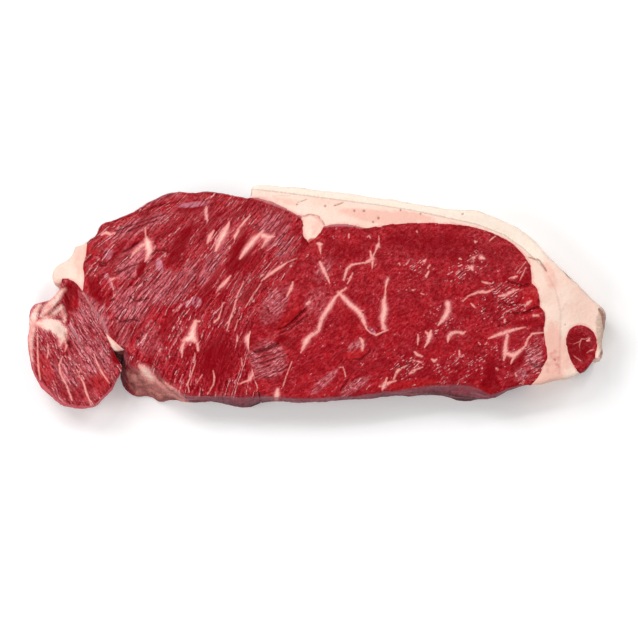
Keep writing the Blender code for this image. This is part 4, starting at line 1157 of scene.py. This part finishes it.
def fat_material(name, side_tint, settings):
    """Firm cream fat, pinker beside the lean, with faint lines, cracks and specks; its outer side is dried
    rind, but painted shade on the wedge.
    """
    material, w, shader = new_material(name, settings)
    place = w.read("place")
    layer, crack, faint = w.parts(w.read("lines"))
    side, from_lean, outer = w.parts(w.read("rims"))
    pink, rind, red = w.parts(w.read("tones"))
    slow = w.noise(w.scaled(place, 0.07, 0.1, 0.1), 2.0)
    blotches = w.noise(w.scaled(place, 0.35, 0.35, 0.35), 3.0, 0.65)
    grains = w.noise(w.scaled(place, 1.1, 1.1, 1.1), 3.0, 0.65)
    rough = w.maths("SUBTRACT", grains, 0.5)

    def drawn(inside, roughness, low, high):
        """A line or speck with a rough edge."""
        return w.ramp(w.plus(inside, w.times(rough, roughness)), low, high)

    colour = w.mixed(w.ramp(slow, 0.35, 0.65, 0.0, 0.35), w.tints["fat"], w.tints["pink"])
    colour = w.over(colour, "outer", outer)
    colour = w.over(colour, "blush", w.ramp(w.plus(from_lean, w.times(blotches, -2.4)), 0.2, -1.2), 0.8)
    colour = w.over(colour, "pink", w.patch(pink, blotches), 0.95)
    colour = w.over(colour, "pink", w.ramp(grains, 0.5, 0.75), 0.35)
    colour = w.over(colour, "line", drawn(layer, 0.9, -0.35, 0.15), 0.36)
    colour = w.over(colour, "speck", drawn(faint, 1.2, -0.5, 0.2), 0.16)
    colour = w.over(colour, "rind", w.patch(rind, blotches), w.ramp(grains, 0.3, 0.6, 0.5, 0.95))
    broken = drawn(crack, 0.8, -0.25, 0.2)
    colour = w.over(colour, "speck", broken, 0.6)
    colour = w.over(colour, "red", w.patch(red, blotches), 0.85)
    # The outer side: dried rind, but on the wedge near-black red painted as shade
    colour = w.over(colour, side_tint, side, 0.4 if side_tint == "rind" else 0.95)
    relief = w.plus(w.times(grains, 0.2), w.times(blotches, 0.3), w.times(broken, -0.15))
    w.fill(shader, {
        "Base Color": colour,
        "Roughness": w.ramp(grains, 0.3, 0.7, 0.36, 0.55),
        "Specular IOR Level": w.maths("SUBTRACT", 0.5, w.times(side, 0.4)),
        "Normal": w.bump(relief),
        "IOR": settings.wet_ior,
        "Subsurface Weight": 0.12,
        "Subsurface Radius": (1.0, 0.5, 0.35),
        "Subsurface Scale": 2 * MM,
    })
    return material


# Settings, operators and panel


def colour_setting(name, description, red, green, blue):
    """A colour property whose default is given as seen on a screen."""
    return bpy.props.FloatVectorProperty(
        name=name, description=description, default=tint(red, green, blue), subtype="COLOR", min=0, max=1
    )


def number_setting(name, description, default, **limits):
    return bpy.props.FloatProperty(name=name, description=description, default=default, **limits)


def wet_setting():
    return number_setting("Wet surface", "Index of refraction of the wet surface", 1.31, min=1, max=2)


class LeanSettings(bpy.types.PropertyGroup):
    tint_lean: colour_setting("Lean", "Plain red of the cut muscle", 160, 8, 24)
    tint_warm: colour_setting("Warm lean", "Red of the warmer patches", 173, 12, 26)
    tint_deep: colour_setting("Deep lean", "Wine red of the smooth, deep patches", 130, 2, 14)
    # Painted shade in creases, slits and beside the pale lines, and the darker mottling along the grain
    tint_gap_shade: colour_setting("Gap", "Nearly black red between bundles and in creases", 92, 1, 10)
    # Warm red of thin, wet lean, in places painted highlight
    tint_bright: colour_setting("Bright lean", "Warm red of wet, thin lean", 190, 26, 28)
    # Paler mottling on the higher fibres, partly painted highlight, and the paler upper part of the flap's
    # outer side
    tint_pale: colour_setting("Pale lean", "Pinkish red of drier grain", 212, 78, 92)
    tint_lilac: colour_setting("Lilac", "Bluish sheen of thin membrane", 212, 140, 158)
    # Pink of open bundles, partly painted sheen, and of the fringe beside marbling
    tint_line: colour_setting("Rubbed grain", "Pink of rubbed bundles", 226, 124, 134)
    # Pale lines and strokes of the grain, partly painted glints
    tint_glint: colour_setting("Lines", "Pale pink of thin lines and strokes", 252, 170, 172)
    tint_thin_fat: colour_setting("Thin fat", "Fat that the lean shows through", 236, 146, 138)
    tint_fat: colour_setting("Marbling", "Fat inside the lean", 252, 220, 206)
    tint_membrane: colour_setting("Membrane", "Thin greyish membrane along a rim", 190, 122, 126)
    # The dark skin and the dark film go on lower down the outer side, partly as painted shade
    tint_skin_dark: colour_setting("Dark skin", "Purple brown of the muscle's outer skin", 58, 14, 26)
    tint_skin: colour_setting("Skin", "Greyish mauve of the muscle's outer skin", 136, 66, 78)
    tint_film_dark: colour_setting("Dark film", "Brownish streaks of the fatty film", 120, 50, 50)
    tint_film: colour_setting("Film", "Beige of the fatty film over the side", 206, 132, 122)
    fray: number_setting("Fray", "How far the marbling frays for its half width", 0.5, min=0, max=2)
    roughness: number_setting("Roughness", "Roughness of the wet lean", 0.27, min=0, max=1, subtype="FACTOR")
    wet_ior: wet_setting()


class FatSettings(bpy.types.PropertyGroup):
    tint_fat: colour_setting("Fat", "Pinkish cream of the inner fat", 247, 219, 203)
    tint_outer: colour_setting("Outer fat", "Paler cream of the outer fat", 248, 230, 214)
    tint_pink: colour_setting("Pink fat", "Pinker patches of the fat", 240, 188, 172)
    tint_blush: colour_setting("Blush", "Fat that touches the lean", 240, 172, 162)
    tint_line: colour_setting("Layer line", "Grey brown line between layers of fat", 150, 120, 104)
    tint_speck: colour_setting("Speck", "Small vessels and cracks", 150, 78, 74)
    tint_rind: colour_setting("Rind", "Drier outer side of the fat", 196, 168, 150)
    tint_red: colour_setting("Thinning fat", "Red where the fat thins out", 186, 44, 36)
    # Near-black red painted on the wedge's outer side as shade
    tint_side_shade: colour_setting("Stained side", "Dark red of a side that was torn from the lean", 96, 6, 10)
    wet_ior: wet_setting()


class StageSettings(bpy.types.PropertyGroup):
    floor_width: number_setting("Floor width", "Side of the pale floor", 6.0, min=1, unit="LENGTH")
    floor_colour: colour_setting("Floor", "Colour of the pale floor", 250, 250, 250)
    floor_glow: number_setting("Floor glow", "Light that comes through the floor", 0.1, min=0)
    light_power: number_setting("Light power", "Power of the key light", 5.3, min=0, unit="POWER")
    surroundings: number_setting("Surroundings", "Brightness of the studio round the steak", 0.32, min=0)


SETTINGS = {"steak_lean": LeanSettings, "steak_fat": FatSettings, "steak_stage": StageSettings}


class STEAK_OT_lean(bpy.types.Operator):
    """Makes one lean piece: its cut face with grain, creases and marbling"""

    bl_idname = "steak.lean"
    bl_label = "Lean piece"

    node: bpy.props.StringProperty(name="Piece", description="The solid that the piece stands for")

    def execute(self, context):
        look = LEAN_LOOKS[self.node]
        name = self.node + "_cut"
        material = lean_material(name, look, context.scene.steak_lean)
        make_piece(self.node, name, lean_form, material)
        return {"FINISHED"}


class STEAK_OT_fat(bpy.types.Operator):
    """Makes one piece of fat, pinker where it meets the lean"""

    bl_idname = "steak.fat"
    bl_label = "Fat piece"

    node: bpy.props.StringProperty(name="Piece", description="The solid that the piece stands for")

    def execute(self, context):
        slot, side_tint = FAT_LOOKS[self.node]
        name = self.node + "_cut"
        material = fat_material(name, side_tint, context.scene.steak_fat)
        make_piece(self.node, name, fat_form, material)
        return {"FINISHED"}


def placed(name, data, location=(0, 0, 0), back=None):
    """An object in the scene. A light or camera looks away from the direction called back."""
    made = bpy.data.objects.new(name, data)
    made.location = location
    if back is not None:
        made.rotation_euler = back.to_track_quat("Z", "Y").to_euler()
    bpy.context.scene.collection.objects.link(made)
    return made


# Lights round the steak: direction from +X and elevation in degrees, size and share of the key's power
LIGHTS = {
    "key": (135, 48, 0.55, 0.9),
    "fill_right": (40, 45, 0.6, 0.55),
    "fill_front": (-110, 42, 0.6, 0.5),
    "fill_left": (-165, 40, 0.6, 0.5),
    "sparkle_back": (110, 62, 0.1, 0.12),
    "sparkle_right": (50, 52, 0.1, 0.1),
}
LIGHT_DISTANCE = 1.1
LIGHT_AIM = (0, 0, 0.01)
FLOOR_DROP = 0.2 * MM
WHITE = (1, 1, 1, 1)


def add_floor(settings):
    half = settings.floor_width / 2
    corners = [(-half, -half, 0), (half, -half, 0), (half, half, 0), (-half, half, 0)]
    mesh = bpy.data.meshes.new("floor")
    mesh.from_pydata(corners, [], [(0, 1, 2, 3)])
    material, w, shader = new_material("pale_floor", settings)
    cloud = w.noise(w.scaled(w.add("ShaderNodeNewGeometry").outputs["Position"], 3.0, 3.0, 3.0), 2.0)
    w.fill(shader, {
        "Base Color": w.mixed(w.times(cloud, 0.02), opaque(settings.floor_colour), (0.8, 0.8, 0.8, 1)),
        "Roughness": 0.9,
        "Specular IOR Level": 0.1,
        "Emission Color": WHITE,
        "Emission Strength": settings.floor_glow,
    })
    mesh.materials.append(material)
    floor = placed("floor", mesh, (0, 0, -FLOOR_DROP))


def add_light(name, turn, rise, size, power):
    light = bpy.data.lights.new(name, "AREA")
    light.shape = "DISK"
    light.size = size
    light.energy = power
    flat, up = math.radians(turn), math.radians(rise)
    way = Vector((math.cos(flat) * math.cos(up), math.sin(flat) * math.cos(up), math.sin(up)))
    place = way * LIGHT_DISTANCE
    placed(name, light, place, place - Vector(LIGHT_AIM))


def add_camera():
    lens = bpy.data.cameras.new("camera")
    lens.lens = CAMERA_LENS
    lens.sensor_width = CAMERA_SENSOR
    lens.sensor_fit = "HORIZONTAL"
    back = Vector((0, -math.cos(CAMERA_ELEVATION), math.sin(CAMERA_ELEVATION)))
    return placed("camera", lens, Vector(CAMERA_TARGET) + CAMERA_DISTANCE * back, back)


class STEAK_OT_stage(bpy.types.Operator):
    """Makes the pale floor, the soft studio light and the camera"""

    bl_idname = "steak.stage"
    bl_label = "Stage"

    def execute(self, context):
        scene = context.scene
        settings = scene.steak_stage
        add_floor(settings)
        for name, (turn, rise, size, share) in LIGHTS.items():
            add_light(name, turn, rise, size, share * settings.light_power)
        scene.world = bpy.data.worlds.new("studio")
        scene.world.use_nodes = True
        background = scene.world.node_tree.nodes["Background"]
        background.inputs["Color"].default_value = WHITE
        background.inputs["Strength"].default_value = settings.surroundings
        scene.view_settings.view_transform = "Standard"
        scene.camera = add_camera()
        return {"FINISHED"}


class STEAK_PT_panel(bpy.types.Panel):
    """The steak's settings and its pieces"""

    bl_idname = "STEAK_PT_panel"
    bl_label = "Striploin steak"
    bl_space_type = "VIEW_3D"
    bl_region_type = "UI"
    bl_category = "Steak"

    def draw(self, context):
        for group, kind in SETTINGS.items():
            box = self.layout.box()
            box.label(text=group.removeprefix("steak_").capitalize())
            for name in kind.__annotations__:
                box.prop(getattr(context.scene, group), name)
        for operator, nodes in (("steak.lean", LEAN_LOOKS), ("steak.fat", FAT_LOOKS)):
            for node in nodes:
                self.layout.operator(operator, text=node.replace("_", " ")).node = node
        self.layout.operator("steak.stage")


CLASSES = (*SETTINGS.values(), STEAK_OT_lean, STEAK_OT_fat, STEAK_OT_stage, STEAK_PT_panel)


def register():
    for made in CLASSES:
        bpy.utils.register_class(made)
    for group, kind in SETTINGS.items():
        setattr(bpy.types.Scene, group, bpy.props.PointerProperty(type=kind))


def unregister():
    for group in SETTINGS:
        delattr(bpy.types.Scene, group)
    for made in reversed(CLASSES):
        bpy.utils.unregister_class(made)


def main():
    for thing in ("Cube", "Light", "Camera"):
        if thing in bpy.data.objects:
            bpy.data.objects.remove(bpy.data.objects[thing], do_unlink=True)
    register()
    bpy.ops.steak.stage()
    for node in LEAN_LOOKS:
        bpy.ops.steak.lean(node=node)
    for node in FAT_LOOKS:
        bpy.ops.steak.fat(node=node)


if __name__ == "__main__":
    main()
